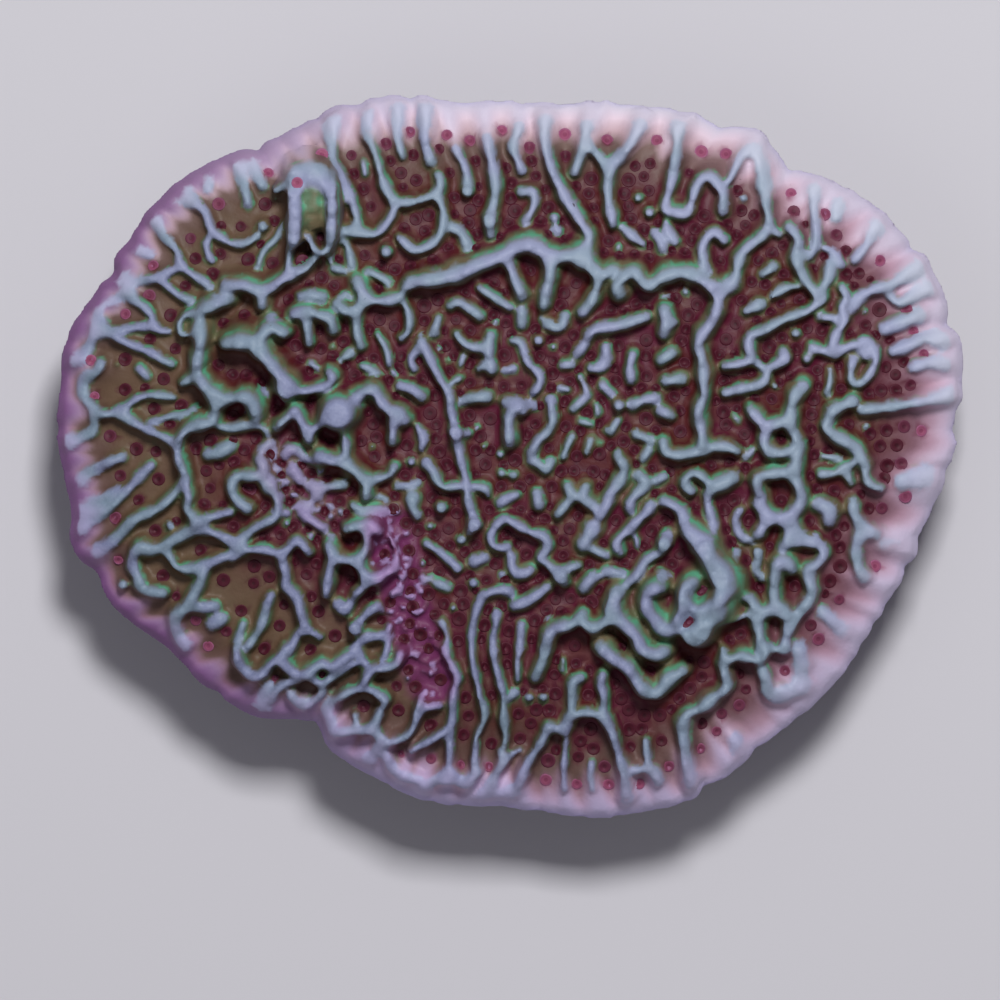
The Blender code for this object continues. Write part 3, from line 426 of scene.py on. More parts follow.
SOUTH_EAST = (
    (1.3, 6, "638,477 645,484 641,491 633,498 629,505 629,511"),
    (0.9, 4.5, "656,482 663,478"),
    (1.5, 5.5, "650,507 645,515 636,523 628,531 620,538 615,546 619,553"),
    (0.8, 3, "628,531 635,538 637,547"),
    (1.6, 5, "707,484 699,477 691,475 685,480 684,487 690,493"),
    (1.7, 8, "712,489 722,485 731,480"),
    (1.4, 5, "710,490 706,500 708,512 712,523 713,532"),
    (1.9, 6, "663,503 674,508 681,515 683,525"),
    (2.8, 9, "683,525 687,532 694,539 702,547"),
    (3.5, 13, "702,547 706,557 712,566 719,576"),
    (4.0, 14, "719,578 724,589 718,601 713,613 706,624 698,634"),
    (3.5, 8.5, "692,586 684,588 681,597 685,607 692,613 702,616"),
    (3.5, 8, "683,614 678,623 684,632 693,637 702,634"),
    (2.8, 8.5, "658,589 649,592 645,602 647,611 654,620 662,630 669,632 674,626"),
    (1.5, 5.5, "667,537 664,546 660,553 651,558 644,563 640,571 635,578 627,585"),
    (0.9, 5, "660,575 668,577"),
    (1.0, 4.5, "606,572 622,575"),
    (2.6, 8, "618,593 612,603 613,615 621,623 629,630 636,638 641,650 655,656 663,653"),
    (0.9, 4.5, "740,511 735,518 735,527"),
    (0.9, 5, "737,533 743,540 750,541"),
    (1.0, 4.5, "757,553 757,562 755,570 761,579"),
    (1.7, 7, "757,505 763,513 764,523 758,535"),
    (1.7, 7, "765,522 776,520 788,524 791,534 787,543 782,548"),
    (1.5, 6, "791,541 800,541"),
    (2.0, 7, "791,570 784,563 776,567 774,578 773,590 774,602 779,611"),
    (1.7, 6, "741,598 749,600 753,607 754,614"),
    (1.3, 3.5, "754,615 743,617 732,623 725,627"),
    (1.2, 3, "718,600 719,612 722,622"),
    (1.8, 6, "755,617 757,628 759,639 759,650"),
    (1.8, 6.5, "757,616 769,612 780,612 787,619 788,629 785,639 784,650"),
    (1.6, 6, "800,612 794,621 788,629"),
    (0.6, 3, "722,560 732,566 739,573 744,582"),
)
SOUTH_RIM_WEST = (
    (2.2, 6, "236,650 238,662 245,672 254,678 263,675 270,666 279,658 286,651"),
    (2.2, 6, "280,660 288,669 297,675 307,675 315,669 322,665 332,668 342,661 352,655"),
    (1.8, 5, "314,682 322,685 330,680 340,673 350,667 358,664"),
    (1.6, 5, "353,649 357,651 361,658 367,666"),
    (1.4, 4, "387,650 383,660 384,668"),
    (2.2, 5.5, "400,655 397,664 386,669 373,670 366,679 360,689 350,692 340,698 331,703 326,712 329,719"),
    (1.8, 5, "362,689 372,692 380,697 385,702 380,712 376,722 373,731"),
    (2.0, 5, "323,724 331,732 341,733 351,732 361,732 372,731 381,740 388,744 399,741 408,736 414,726"
             " 417,713 420,702"),
    (1.4, 4, "354,716 356,725 354,731"),
    (1.6, 5.5, "381,744 374,754 366,763 354,768"),
    (2.0, 6, "386,757 391,767 398,776 408,779 418,780"),
    (1.6, 4.5, "411,752 420,747 428,743 437,738 445,732"),
    (1.8, 5, "291,697 296,703 304,706 312,703 318,698 323,692"),
    (1.6, 4.5, "272,699 277,691 286,685 297,682"),
    (0.9, 5, "262,708 265,697 268,686"),
)
SOUTH_RIM = (
    (1.4, 5, "444,650 448,660 453,669 457,679 454,691 452,704 452,718 450,729 449,742 449,756 448,770"
             " 449,779"),
    (1.5, 4.5, "471,650 472,661 474,673 477,685 479,697 483,708 484,718 481,728 476,738 475,750 474,763"
               " 474,774"),
    (1.5, 5, "493,650 494,662 497,674 500,686 503,697 503,710 503,722 505,735 504,747"),
    (0.8, 4, "503,697 509,699 514,694"),
    (1.3, 5, "500,752 503,762 498,771 493,781 489,791 484,800 480,806"),
    (0.8, 4, "505,760 512,755 520,750"),
    (1.4, 5, "519,650 517,661 517,672 517,681"),
    (1.7, 6, "545,650 542,661 538,671 535,678"),
    (1.3, 5, "419,716 423,710 431,708 438,707"),
    (2.0, 6, "421,795 430,784 440,780 452,779 462,784 469,782 476,774"),
    (1.6, 5.5, "500,805 508,796 516,788 521,779 525,769 530,760 536,751 541,743 545,735 548,729 556,730"
               " 563,731 567,723 570,712 571,701 571,691 573,682 580,679"),
    (0.9, 3.5, "566,733 565,746 564,760 563,775 564,790"),
    (1.8, 5.5, "602,676 600,686 603,696 603,707 602,717 594,715 584,714 574,716"),
    (1.8, 5.5, "602,717 607,725 612,736 616,750 620,763 623,775 625,787 626,798"),
    (0.7, 4, "591,764 590,777 592,790"),
    (0.8, 3, "562,660 562,671"),
)
SOUTH_RIM_EAST = (
    (2.2, 7, "600,648 609,657 618,663 626,668 632,676 638,686 645,692 655,695 662,689 668,681 676,676"
             " 682,672"),
    (2.0, 6.5, "722,665 724,676 727,686 722,693 713,699 705,706 697,711 688,714 683,722 682,734 684,747"
               " 686,760 689,773 693,785"),
    (2.2, 5.5, "722,650 723,657 730,660 739,657 748,659 757,661 764,657 766,649 759,650"),
    (1.6, 5, "770,648 777,652 784,649"),
    (1.4, 7, "761,671 765,682 767,692 773,698 782,696 791,692 800,688"),
    (1.2, 5, "645,742 646,755 647,768 640,771 632,772"),
    (1.2, 5, "647,768 653,774 658,782"),
    (0.9, 6, "735,742 734,756 733,770"),
    (1.0, 8, "798,650 800,664 801,678"),
)
RIDGES = (NORTH_WEST_RIM + FINGER_LOBE + NORTH_RIM + EAST_RIM + WEST_RIM + WEST_LEDGE + MIDDLE_WEST
          + CENTRE_LEDGE + CENTRE + EAST_CENTRE + EAST + SOUTH_WEST + RING_KNOB + SOUTH_CENTRE
          + SOUTH_EAST + SOUTH_RIM_WEST + SOUTH_RIM + SOUTH_RIM_EAST)
LOBE_FLOOR = (
    (2.8, 13, "313,198 313,212 314,226"),
    (3.1, 12, "313,212 313,218"),
    (3.4, 12, "313,204 313,210"),
    (3.7, 12, "312,195 313,202"),
)
print(len(RIDGES), "ridges")

# %% [markdown]
# ## Knobs and pits
# Where a ridge would be as short as it is wide it is a knob. The lists give a height, a radius and all the
# places of that size. In two places young tissue has closed a seam between lobes, and there the skin is
# pink and beset with crowded little bumps. A seam is a radius, a number of bumps, the strength of its pink
# and a route, and its bumps are strewn. A pit is a depth, a radius and its places.

# %% Lay out the knobs and pits
KNOBS = (
    (3.5, 22, "338,416"),
    (2.2, 9, "489,222 474,526 455,434 560,577 663,545 355,630"),
    (1.6, 7.5, "386,254 784,359 851,403 467,193 618,407 441,509"),
    (1.2, 6.5, "263,228 649,214 538,342 272,318 122,586 757,553 803,388 806,360 457,569 672,324 661,576"),
    (0.9, 5.5, "638,199 554,219 203,303 215,297 795,335 501,474 513,476 461,541 473,584 617,455 735,553"),
    (0.8, 5, "555,230 500,455 287,514 332,538 411,463 170,526 529,698 543,698 558,232"),
    (0.6, 4, "743,199 618,248 377,374 394,374 606,431 685,293 775,387 484,447 430,527 453,608 502,575"
             " 331,517 385,280 553,348"),
    (0.5, 3, "117,365 333,348 541,318 372,447 478,428 663,297 865,312 866,427 396,505 421,336 440,349"
             " 449,361 495,322 600,444 549,618"),
)
SEAMS = (
    (30, 130, 1.0, "388,530 396,560 404,590 411,620 420,650 432,682"),
    (30, 56, 0.45, "278,462 300,490 322,512"),
)
SEAM_BUMP = (0.55, 3.3)
BUMP_SIZES = (0.7, 1.2)
BUMP_SPREAD = 0.5
PITS = (
    (0.2, 8, "298,184"),
    (0.4, 8, "701,592 688,622 320,240 303,262"),
)


def strewn_bumps():
    """Small bumps strewn over the seams, each as a knob entry."""
    for reach, count, _, route in SEAMS:
        stops = grid_points(route)
        for _ in range(count):
            x, y = random.choice(stops)
            x, y = x + random.gauss(0, reach * BUMP_SPREAD), y + random.gauss(0, reach * BUMP_SPREAD)
            size = random.uniform(*BUMP_SIZES)
            yield SEAM_BUMP[0] * size, SEAM_BUMP[1] * size, f"{x:.1f},{y:.1f}"


KNOBS += tuple(strewn_bumps())
print(len(KNOBS), "knob entries")

# %% [markdown]
# ## The plate
# The plate is thin at its rounded margin and rises in a low dome to the middle. Underneath it narrows to
# the foot, where it is cut off flat. By hand this is a disc that is extruded and scaled ring by ring, so
# that is what the code does: one circle for the foot, then an extrusion for each ring of the underside
# and of the upper face, each ring set out along the spokes between the foot and the margin. The soft
# folds of the rim are in the rings too: a noise along the margin lifts and lowers them, and a fold comes
# up where a ridge runs out to the margin.

# %% Fold the rim
FOLD_LENGTH = 1.25 * MM
MEAN_REACH = 27 * MM
FOLD_SCALE = MEAN_REACH / FOLD_LENGTH
FOLD_STRENGTH = 0.7
FOLD_PLACES = 1441
FOLD_ANGLES = np.linspace(-math.pi, math.pi, FOLD_PLACES)
FOLDS = np.array([FOLD_STRENGTH * noise.noise(Vector((math.cos(a), math.sin(a), 0.0)) * FOLD_SCALE)
                  for a in FOLD_ANGLES])
SPOKE_REACH = 4.5 * MM
SPOKE_FOLD, SPOKE_WIDTH = 0.7, 0.028


def fold_the_spokes():
    """Lifts a fold of the rim where a ridge runs out towards the margin."""
    for _, _, route in RIDGES:
        points = grid_points(route)
        for spot in (on_plan(points[0]), on_plan(points[-1])):
            angle = math.atan2(spot.y, spot.x)
            if np.interp(angle, MARGIN_ANGLES, MARGIN_REACHES, period=math.tau) - spot.length < SPOKE_REACH:
                away = (FOLD_ANGLES - angle + math.pi) % math.tau - math.pi
                FOLDS[:] = np.maximum(FOLDS, SPOKE_FOLD * np.exp(-(away / SPOKE_WIDTH) ** 2))


fold_the_spokes()
FOLDS -= FOLDS.mean()
print(f"folds between {FOLDS.min():.2f} and {FOLDS.max():.2f}")

# %% Give the plate its upper face
LIP_HEIGHT = 8.0 * MM
DOME = ((0.0, 0.0), (0.5, 0.75), (1.2, 1.1), (3.0, 1.9), (6.0, 2.6), (9.0, 3.3), (12.0, 3.9), (40.0, 4.1))
FOLD_HEIGHT = 0.7 * MM
FOLD_DEPTH = 0.28 * MM
FOLD_START = (-0.4 * MM, 0.8 * MM)
FOLD_END = (1.25 * MM, 5.0 * MM)
SKIN = 0.07 * MM


def ease(low, high, value):
    """0 below low, 1 above high, and a smooth way between."""
    t = np.clip((value - low) / (high - low), 0.0, 1.0)
    return t * t * (3 - 2 * t)


def fold_at(angle):
    """How far a fold of the rim is up, between -1 and 1, along a direction."""
    return np.interp(angle, FOLD_ANGLES, FOLDS)


def margin_reach(angle):
    """How far the margin is from the colony's middle along a direction, in metres."""
    reach = np.interp(angle, MARGIN_ANGLES, MARGIN_REACHES, period=math.tau) - SKIN
    return reach - FOLD_DEPTH * np.maximum(-fold_at(angle), 0.0)


def way_in(x, y):
    """How far places on the plan are inside the margin, in metres."""
    return margin_reach(np.arctan2(y, x)) - np.hypot(x, y)


def plate_top(x, y):
    """Height of the plate's upper face at places on the plan, in metres."""
    depths, rises = zip(*DOME)
    inside = np.maximum(way_in(x, y), 0.0)
    folded = ease(*FOLD_START, inside) * (1 - ease(*FOLD_END, inside))
    return (LIP_HEIGHT + np.interp(inside / MM, depths, rises) * MM
            + FOLD_HEIGHT * fold_at(np.arctan2(y, x)) * folded)


print(f"the plate's middle is {float(plate_top(0.0, 0.0)) / MM:.1f} mm high")

# %% Extrude the plate ring by ring
SPOKES = 720
FOOT_RADIUS = 11.0 * MM
FOOT_EXCESS = 1.0 * MM
UNDERSIDE = ((1.0, 1.2), (0.9, 2.6), (0.75, 4.4), (0.55, 5.7), (0.3, 6.5), (0.08, 7.0), (0.03, 7.3),
             (0.0, 8.0))
DOME_SHARES = (0.004, 0.012, 0.025, 0.05, 0.08, 0.12, 0.17, 0.25, 0.34, 0.45, 0.6, 0.8, 0.95)


def add_plate():
    """The foot's circle, extruded out to the margin and back over the dome.

    A ring is its share of the way out and its height, or None where it lies on the dome.
    """
    bpy.ops.object.select_all(action="DESELECT")
    bpy.ops.mesh.primitive_circle_add(vertices=SPOKES, radius=FOOT_RADIUS, fill_type="NGON",
                                      location=(0, 0, -FOOT_EXCESS))
    plate = bpy.context.object
    plate.name = "colony_surface"
    bpy.ops.object.transform_apply(location=True)
    rings = [(0.0, FOOT_EXCESS)] + [(1 - share, height * MM) for share, height in UNDERSIDE]
    rings += [(1 - share, None) for share in DOME_SHARES]
    bpy.ops.object.mode_set(mode="EDIT")
    for outward, height in rings:
        bpy.ops.mesh.extrude_region_move()
        mesh = bmesh.from_edit_mesh(plate.data)
        for vertex in mesh.verts:
            if vertex.select:
                way = Vector((vertex.co.x, vertex.co.y, 0.0)).normalized()
                reach = float(margin_reach(math.atan2(way.y, way.x)))
                inner = FOOT_RADIUS if height is not None else 0.0
                flat = way * (inner + (reach - inner) * outward)
                top = height if height is not None else float(plate_top(flat.x, flat.y))
                vertex.co = flat + Vector((0, 0, top))
        bmesh.update_edit_mesh(plate.data)
    bpy.ops.mesh.select_all(action="SELECT")
    bpy.ops.mesh.normals_make_consistent(inside=False)
    bpy.ops.object.mode_set(mode="OBJECT")
    return plate


colony = add_plate()
print("plate:", len(colony.data.polygons), "faces")

# %% [markdown]
# ## The relief of the ridges
# A ridge is a wall that leans: steep or hollow on one side, with a long slope on the other, where the
# tissue comes up out of the valley, and where ridges meet the tissue webs them together. A curve with a
# bevel gives every ridge one section and a hard joint. So the ridges are heights over the plan: each route
# is a row of stations, each station raises the ground round it by a soft profile, and where the ridges
# come near each other their heights add up like the webs. A fine grid then takes these heights, on ground
# that is a little uneven and rough.

# %% Set out stations along the routes
STATION_SPACING = 0.22 * MM
UNEVEN_LENGTH = 0.8 * MM
UNEVEN_HEIGHTS = (0.93, 0.2)
LOW_RIDGE, TALL_RIDGE = 1.3 * MM, 2.4 * MM
CREST_SHARES = (0.94, 0.76)
END_HEIGHT = 0.85
KNOB_SHARE = 0.95
SWELL, LOBE_SWELL = 0.5, 0.1
SWELL_PLACE = Vector((9.0, 4.0, 2.0))
RIM_FADE = (0.1 * MM, 3.0 * MM)
RIM_HEIGHT = 0.4
RIM_SPREAD = 0.8


def smooth_route(points, spacing):
    """Points along a smooth curve through a route's own points."""
    route = []
    ends = [points[0] * 2 - points[1]] + points + [points[-1] * 2 - points[-2]]
    for before, start, finish, after in zip(ends, ends[1:], ends[2:], ends[3:]):
        count = max(1, round((finish - start).length / spacing))
        for k in range(count):
            t = k / count
            route.append(0.5 * (2 * start + (finish - before) * t
                                + (2 * before - 5 * start + 4 * finish - after) * t ** 2
                                + (3 * start - before - 3 * finish + after) * t ** 3))
    return route + [points[-1]]


def stature_of(height, leaning):
    """How much of a tall wall a ridge is: 0 for a low bar or a massive lobe, 1 for a tall wall."""
    return leaning * float(ease(LOW_RIDGE, TALL_RIDGE, height))


def stations_of(height, half_width, route, leaning):
    """The stations of a ridge: (x, y, height, half width), all in metres."""
    crest = smooth_route([on_plan(point) for point in grid_points(route)], STATION_SPACING)
    share = CREST_SHARES[0] + (CREST_SHARES[1] - CREST_SHARES[0]) * stature_of(height * MM, leaning)
    swelling = SWELL * (LOBE_SWELL + (1 - LOBE_SWELL) * leaning)
    stations = []
    for k, spot in enumerate(crest):
        rough = noise.noise(spot / UNEVEN_LENGTH)
        swell = noise.noise(spot / UNEVEN_LENGTH + SWELL_PLACE)
        end = END_HEIGHT if k in (0, len(crest) - 1) else 1.0
        off_rim = float(ease(*RIM_FADE, way_in(spot.x, spot.y)))
        uneven = UNEVEN_HEIGHTS[0] + UNEVEN_HEIGHTS[1] * rough
        station_height = height * MM * uneven * end * (RIM_HEIGHT + (1 - RIM_HEIGHT) * off_rim)
        width = half_width * share * STEP * (1 + swelling * swell)
        stations.append((spot.x, spot.y, station_height, width * (1 + RIM_SPREAD * (1 - off_rim))))
    return stations


leanings = [0.0 if ridge in FINGER_LOBE else 1.0 for ridge in RIDGES]
ridge_stations = [stations_of(*ridge, leaning) for ridge, leaning in zip(RIDGES, leanings)]
knob_stations = [(spot.x, spot.y, height * MM, radius * KNOB_SHARE * STEP)
                 for height, radius, places in KNOBS for spot in map(on_plan, grid_points(places))]
print(sum(map(len, ridge_stations)), "stations and", len(knob_stations), "knobs")

# %% Shape one ridge
CELL = 0.16 * MM
LEAN = (0.35, 0.94)
SLOPE_SKEWS = (0.25, 0.7)
PROFILES = ((0.35, 1.8), (0.25, 2.2))
LOBE_PROFILE = (0.6, 1.5)
CREST_ROUNDING = 1.2
CREST_BACK = 0.35
WEB = 2.3
NO_DISTANCE = 1e-9
xs = np.arange(LOW[0], HIGH[0], CELL)
ys = np.arange(LOW[1], HIGH[1], CELL)
raised = np.zeros((len(ys), len(xs)))
tall = np.zeros_like(raised)
stands = np.zeros_like(raised)


def raise_row(row, leaning, massive=LOBE_PROFILE, stand=1.0):
    """Adds one ridge or knob to the relief: the highest of its stations' soft profiles."""
    stature = stature_of(max(station[2] for station in row), leaning)
    skew = leaning * (SLOPE_SKEWS[0] + (SLOPE_SKEWS[1] - SLOPE_SKEWS[0]) * stature)
    profile = [low + (high - low) * stature for low, high in zip(*PROFILES)] if leaning else massive
    reach = max(station[3] for station in row) * profile[1] * (1 + skew)
    west, east = min(station[0] for station in row) - reach, max(station[0] for station in row) + reach
    south, facing_key_light = min(station[1] for station in row) - reach, max(station[1] for station in row) + reach
    across = slice(np.searchsorted(xs, west), np.searchsorted(xs, east))
    along = slice(np.searchsorted(ys, south), np.searchsorted(ys, facing_key_light))
    x, y = np.meshgrid(xs[across], ys[along])
    best = np.zeros_like(x)
    stature_here = np.zeros_like(x)
    for station_x, station_y, height, width in row:
        back = CREST_BACK * width * stature
        dx, dy = x - station_x + LEAN[0] * back, y - station_y + LEAN[1] * back
        distance = np.hypot(dx, dy)
        lit = 0.5 + 0.5 * (dx * LEAN[0] + dy * LEAN[1]) / np.maximum(distance, NO_DISTANCE)
        share = distance / (width * (1 + skew * lit * lit))
        here = height * (1 - ease(*profile, share)) ** CREST_ROUNDING
        stature_here = np.where(here > best, height, stature_here)
        best = np.maximum(best, here)
    raised[along, across] += best ** WEB
    tall[along, across] += best ** WEB * stature_here
    stands[along, across] += best ** WEB * stand


print(f"the relief has {len(xs)} by {len(ys)} cells")

# %% Raise the relief
KNOB_PROFILE = (0.5, 1.5)
PIT_PROFILE = (0.8, 1.5)
FLOOR_STAND = 1.9
NO_HEIGHT = 1e-30
for row, leaning in zip(ridge_stations, leanings):
    raise_row(row, leaning)
raise_row([station for part in LOBE_FLOOR for station in stations_of(*part, 0.0)], 0.0, stand=FLOOR_STAND)
for knob in knob_stations:
    raise_row([knob], 0.0, KNOB_PROFILE)
tall = tall / np.maximum(raised, NO_HEIGHT)
stands = np.maximum(stands / np.maximum(raised, NO_HEIGHT), 1.0)
raised = np.minimum(raised ** (1 / WEB), tall)
plan_x, plan_y = np.meshgrid(xs, ys)
for depth, radius, pit_places in PITS:
    for spot in map(on_plan, grid_points(pit_places)):
        share = np.hypot(plan_x - spot.x, plan_y - spot.y) / (radius * STEP)
        raised -= depth * MM * (1 - ease(*PIT_PROFILE, share))
raised = np.maximum(raised, 0.0)
print(f"the relief is {raised.max() / MM:.2f} mm high")

# %% Lay a grid over the plate and lift it to the relief
SLAB = 0.35 * MM
OVERHANG = 0.2
UNEVEN_GROUND = (3.5 * MM, 0.25 * MM)
ROUGHNESS = (0.35 * MM, 0.07 * MM)
HEADROOM = 0.06 * MM
RELIEF_START = 1.0 * MM
GRID_CUT = 0.3 * MM
LAST_CELL = 1.001


def grid_value(values, x, y):
    """A relief value at places on the plan, between the four nearest cells."""
    column = np.clip((x - xs[0]) / CELL, 0, len(xs) - LAST_CELL)
    row = np.clip((y - ys[0]) / CELL, 0, len(ys) - LAST_CELL)
    i, j = column.astype(int), row.astype(int)
    s, t = column - i, row - j
    return ((values[j, i] * (1 - s) + values[j, i + 1] * s) * (1 - t)
            + (values[j + 1, i] * (1 - s) + values[j + 1, i + 1] * s) * t)


def lifted(x, y):
    """Where the grid's points go: up to the relief, and over with the lean of the crests."""
    height = grid_value(raised, x, y)
    drop = np.maximum(grid_value(tall, x, y) - height, 0.0) * OVERHANG
    ground = np.array([noise.noise(Vector((a, b, 0.0)) / UNEVEN_GROUND[0]) * UNEVEN_GROUND[1]
                       + noise.noise(Vector((a, b, 0.0)) / ROUGHNESS[0]) * ROUGHNESS[1]
                       for a, b in zip(x, y)])
    top = plate_top(x, y) + (height + ground) * ease(0.0, RELIEF_START, way_in(x, y))
    return np.column_stack((x + LEAN[0] * drop, y + LEAN[1] * drop, np.minimum(top, HIGH[2] - HEADROOM)))


def add_relief():
    """A grid that follows the ridges, cut to the margin and made a thin slab that sinks into the plate."""
    bpy.ops.object.select_all(action="DESELECT")
    middle = Vector(((xs[0] + xs[-1]) / 2, (ys[0] + ys[-1]) / 2, 0.0))
    bpy.ops.mesh.primitive_grid_add(x_subdivisions=len(xs) - 1, y_subdivisions=len(ys) - 1, size=1.0,
                                    location=middle)
    relief = bpy.context.object
    relief.scale = (xs[-1] - xs[0], ys[-1] - ys[0], 1.0)
    bpy.ops.object.transform_apply(location=True, scale=True)
    flat = np.empty(len(relief.data.vertices) * 3)
    relief.data.vertices.foreach_get("co", flat)
    x, y, _ = flat.reshape(-1, 3).T
    inside = way_in(x, y)
    relief.data.vertices.foreach_set("co", lifted(x, y).ravel())
    bpy.ops.object.mode_set(mode="EDIT")
    mesh = bmesh.from_edit_mesh(relief.data)
    outside = [vertex for vertex, way in zip(mesh.verts, inside) if way < GRID_CUT]
    bmesh.ops.delete(mesh, geom=outside, context="VERTS")
    bmesh.update_edit_mesh(relief.data)
    bpy.ops.mesh.select_all(action="SELECT")
    bpy.ops.mesh.extrude_region_move()
    sunk = [vertex for vertex in bmesh.from_edit_mesh(relief.data).verts if vertex.select]
    floors = plate_top(*np.array([vertex.co.xy for vertex in sunk]).T)
    for vertex, floor in zip(sunk, floors):
        vertex.co.z = floor - SLAB
    bmesh.update_edit_mesh(relief.data)
    bpy.ops.mesh.select_all(action="SELECT")
    bpy.ops.mesh.normals_make_consistent(inside=False)
    bpy.ops.object.mode_set(mode="OBJECT")
    return relief


relief = add_relief()
print("relief:", len(relief.data.polygons), "faces")

# %% [markdown]
# ## Fuse and soften
# The plate and the relief grow into one skin. A voxel remesh lays one even net over both, with small
# faces on the steep walls too, and a little smoothing gives the joints the roundness of living tissue.
# The underside needs far fewer faces than the ridges, so its part of the net is thinned most. Then the
# whole is brought down to its limit of faces, and the foot is cut off flat.

# %% Fuse
VOXEL = 0.16 * MM


def apply_all(piece):
    """Applies a piece's modifiers in their order."""
    bpy.context.view_layer.objects.active = piece
    for modifier in list(piece.modifiers):
        bpy.ops.object.modifier_apply(modifier=modifier.name)


bpy.ops.object.select_all(action="DESELECT")
for piece in (relief, colony):
    piece.select_set(True)
bpy.context.view_layer.objects.active = colony
bpy.ops.object.join()
fuse = colony.modifiers.new("fuse", "REMESH")
fuse.mode = "VOXEL"
fuse.voxel_size = VOXEL
soften = colony.modifiers.new("soften", "SMOOTH")
soften.factor = 0.5
soften.iterations = 2
apply_all(colony)
print("fused skin:", len(colony.data.polygons), "faces")

# %% Thin the underside and then the whole
UNDER_NORMAL = 0.2
UNDER_DROP = 0.4 * MM
UNDER_FACES = 0.08
FACE_LIMIT = 192000
count = len(colony.data.polygons)
normals = np.empty(count * 3)
centres = np.empty(count * 3)
colony.data.polygons.foreach_get("normal", normals)
colony.data.polygons.foreach_get("center", centres)
under = (normals[2::3] < UNDER_NORMAL) & (centres[2::3] < LIP_HEIGHT - UNDER_DROP)
colony.data.polygons.foreach_set("select", under)
bpy.ops.object.mode_set(mode="EDIT")
bpy.ops.mesh.select_mode(type="FACE")
bpy.ops.mesh.decimate(ratio=UNDER_FACES)
bpy.ops.object.mode_set(mode="OBJECT")
triangles = sum(len(face.vertices) - 2 for face in colony.data.polygons)
print("after the underside:", triangles, "triangles")
if triangles > FACE_LIMIT:
    thin = colony.modifiers.new("thin", "DECIMATE")
    thin.ratio = FACE_LIMIT / triangles
    apply_all(colony)
print("after the whole:", len(colony.data.polygons), "faces")

# %% Cut the foot flat
bpy.ops.object.mode_set(mode="EDIT")
bpy.ops.mesh.select_all(action="SELECT")
bpy.ops.mesh.bisect(plane_co=(0, 0, 0), plane_no=(0, 0, -1), use_fill=True, clear_outer=True)
bpy.ops.mesh.select_mode(type="EDGE")
bpy.ops.mesh.select_all(action="DESELECT")
bpy.ops.mesh.select_non_manifold()
bpy.ops.object.mode_set(mode="OBJECT")
print("edges that don't join two faces:", sum(edge.select for edge in colony.data.edges))
colony.data.shade_smooth()
print("colony surface:", len(colony.data.polygons), "faces")

# %% [markdown]
# ## Calices
# Each polyp sits in a calyx, a cup less than a millimetre across. They fill every valley, some six hundred
# of them. A search over the plan finds their places, the lowest ground first, with room between
# neighbours, and it passes over the feet of the ridges, where a cup would hang on a wall. The skin is
# pressed in at each place, which gives the soft rim of the cup. A polyp is modelled once with a few dozen
# faces, a circle extruded into a ring and a mouth, and each copy of it is laid over the skin of its cup.

# %% Look round a place
CUP_SLOPE = 1.1
NEAR_RADIUS = 0.42 * MM
NEAR_RISE = (0.3 * MM, 0.9 * MM)
NEAR_ANGLES = np.linspace(0.0, math.tau, 8, endpoint=False)
OLIVE_WAY = math.radians(190)
OLIVE_TURN = (0.0, 0.8)
OLIVE_WIDTH = (6 * MM, 12 * MM)


def value_at(values, x, y):
    """A relief value at one place on the plan."""
    return float(grid_value(values, np.array([x]), np.array([y]))[0])


def slope_at(x, y):
    """How steep the relief is at a place, as a rise per run."""
    rises = [value_at(raised, x + a, y + b) - value_at(raised, x - a, y - b)
             for a, b in ((CELL, 0.0), (0.0, CELL))]
    return float(np.hypot(*rises)) / (2 * CELL)


def rise_round(x, y):
    """How much the relief differs round a place, in metres."""
    ring = grid_value(raised, x + NEAR_RADIUS * np.cos(NEAR_ANGLES), y + NEAR_RADIUS * np.sin(NEAR_ANGLES))
    return float(ring.max() - ring.min())


def olive_share(x, y):
    """How olive the tissue is: fully in the outer bays of the west, not at all in the middle and the east."""
    west_side = ease(*OLIVE_TURN, np.cos(np.arctan2(y, x) - OLIVE_WAY))
    return west_side * (1 - ease(*OLIVE_WIDTH, way_in(x, y)))


print(f"the steepest slope for a cup is {math.degrees(math.atan(CUP_SLOPE)):.0f} degrees")

# %% Find places for the calices
SEARCH_STEP, SEARCH_SHIFT = 5, 2
SEARCH_COLUMNS = range(50, 970, SEARCH_STEP)
SEARCH_ROWS = range(90, 825, SEARCH_STEP)
CUP_FREE = 1.9 * MM
CUP_LIFT = 0.42
LEAST_RIDGE = 0.3 * MM
NEAR_WEIGHT = 0.3
MIXING = 0.15 * MM


def cup_candidates():
    """Places with room for a cup, the lowest first: (rank, place, way in from the margin, rise round it)."""
    candidates = []
    for grid_x in SEARCH_COLUMNS:
        for grid_y in SEARCH_ROWS:
            spot = on_plan((grid_x + random.uniform(-SEARCH_SHIFT, SEARCH_SHIFT),
                            grid_y + random.uniform(-SEARCH_SHIFT, SEARCH_SHIFT)))
            inside = float(way_in(spot.x, spot.y))
            rise = value_at(raised, spot.x, spot.y)
            ridge = value_at(tall, spot.x, spot.y)
            near = rise_round(spot.x, spot.y)
            if (inside > CUP_FREE and rise < CUP_LIFT * max(ridge, LEAST_RIDGE) and near < NEAR_RISE[1]
                    and slope_at(spot.x, spot.y) < CUP_SLOPE):
                rank = rise + NEAR_WEIGHT * near + random.uniform(0, MIXING)
                candidates.append((rank, spot, inside, near))
    return sorted(candidates, key=lambda item: item[0])


candidates = cup_candidates()
print(len(candidates), "places with room for a cup")

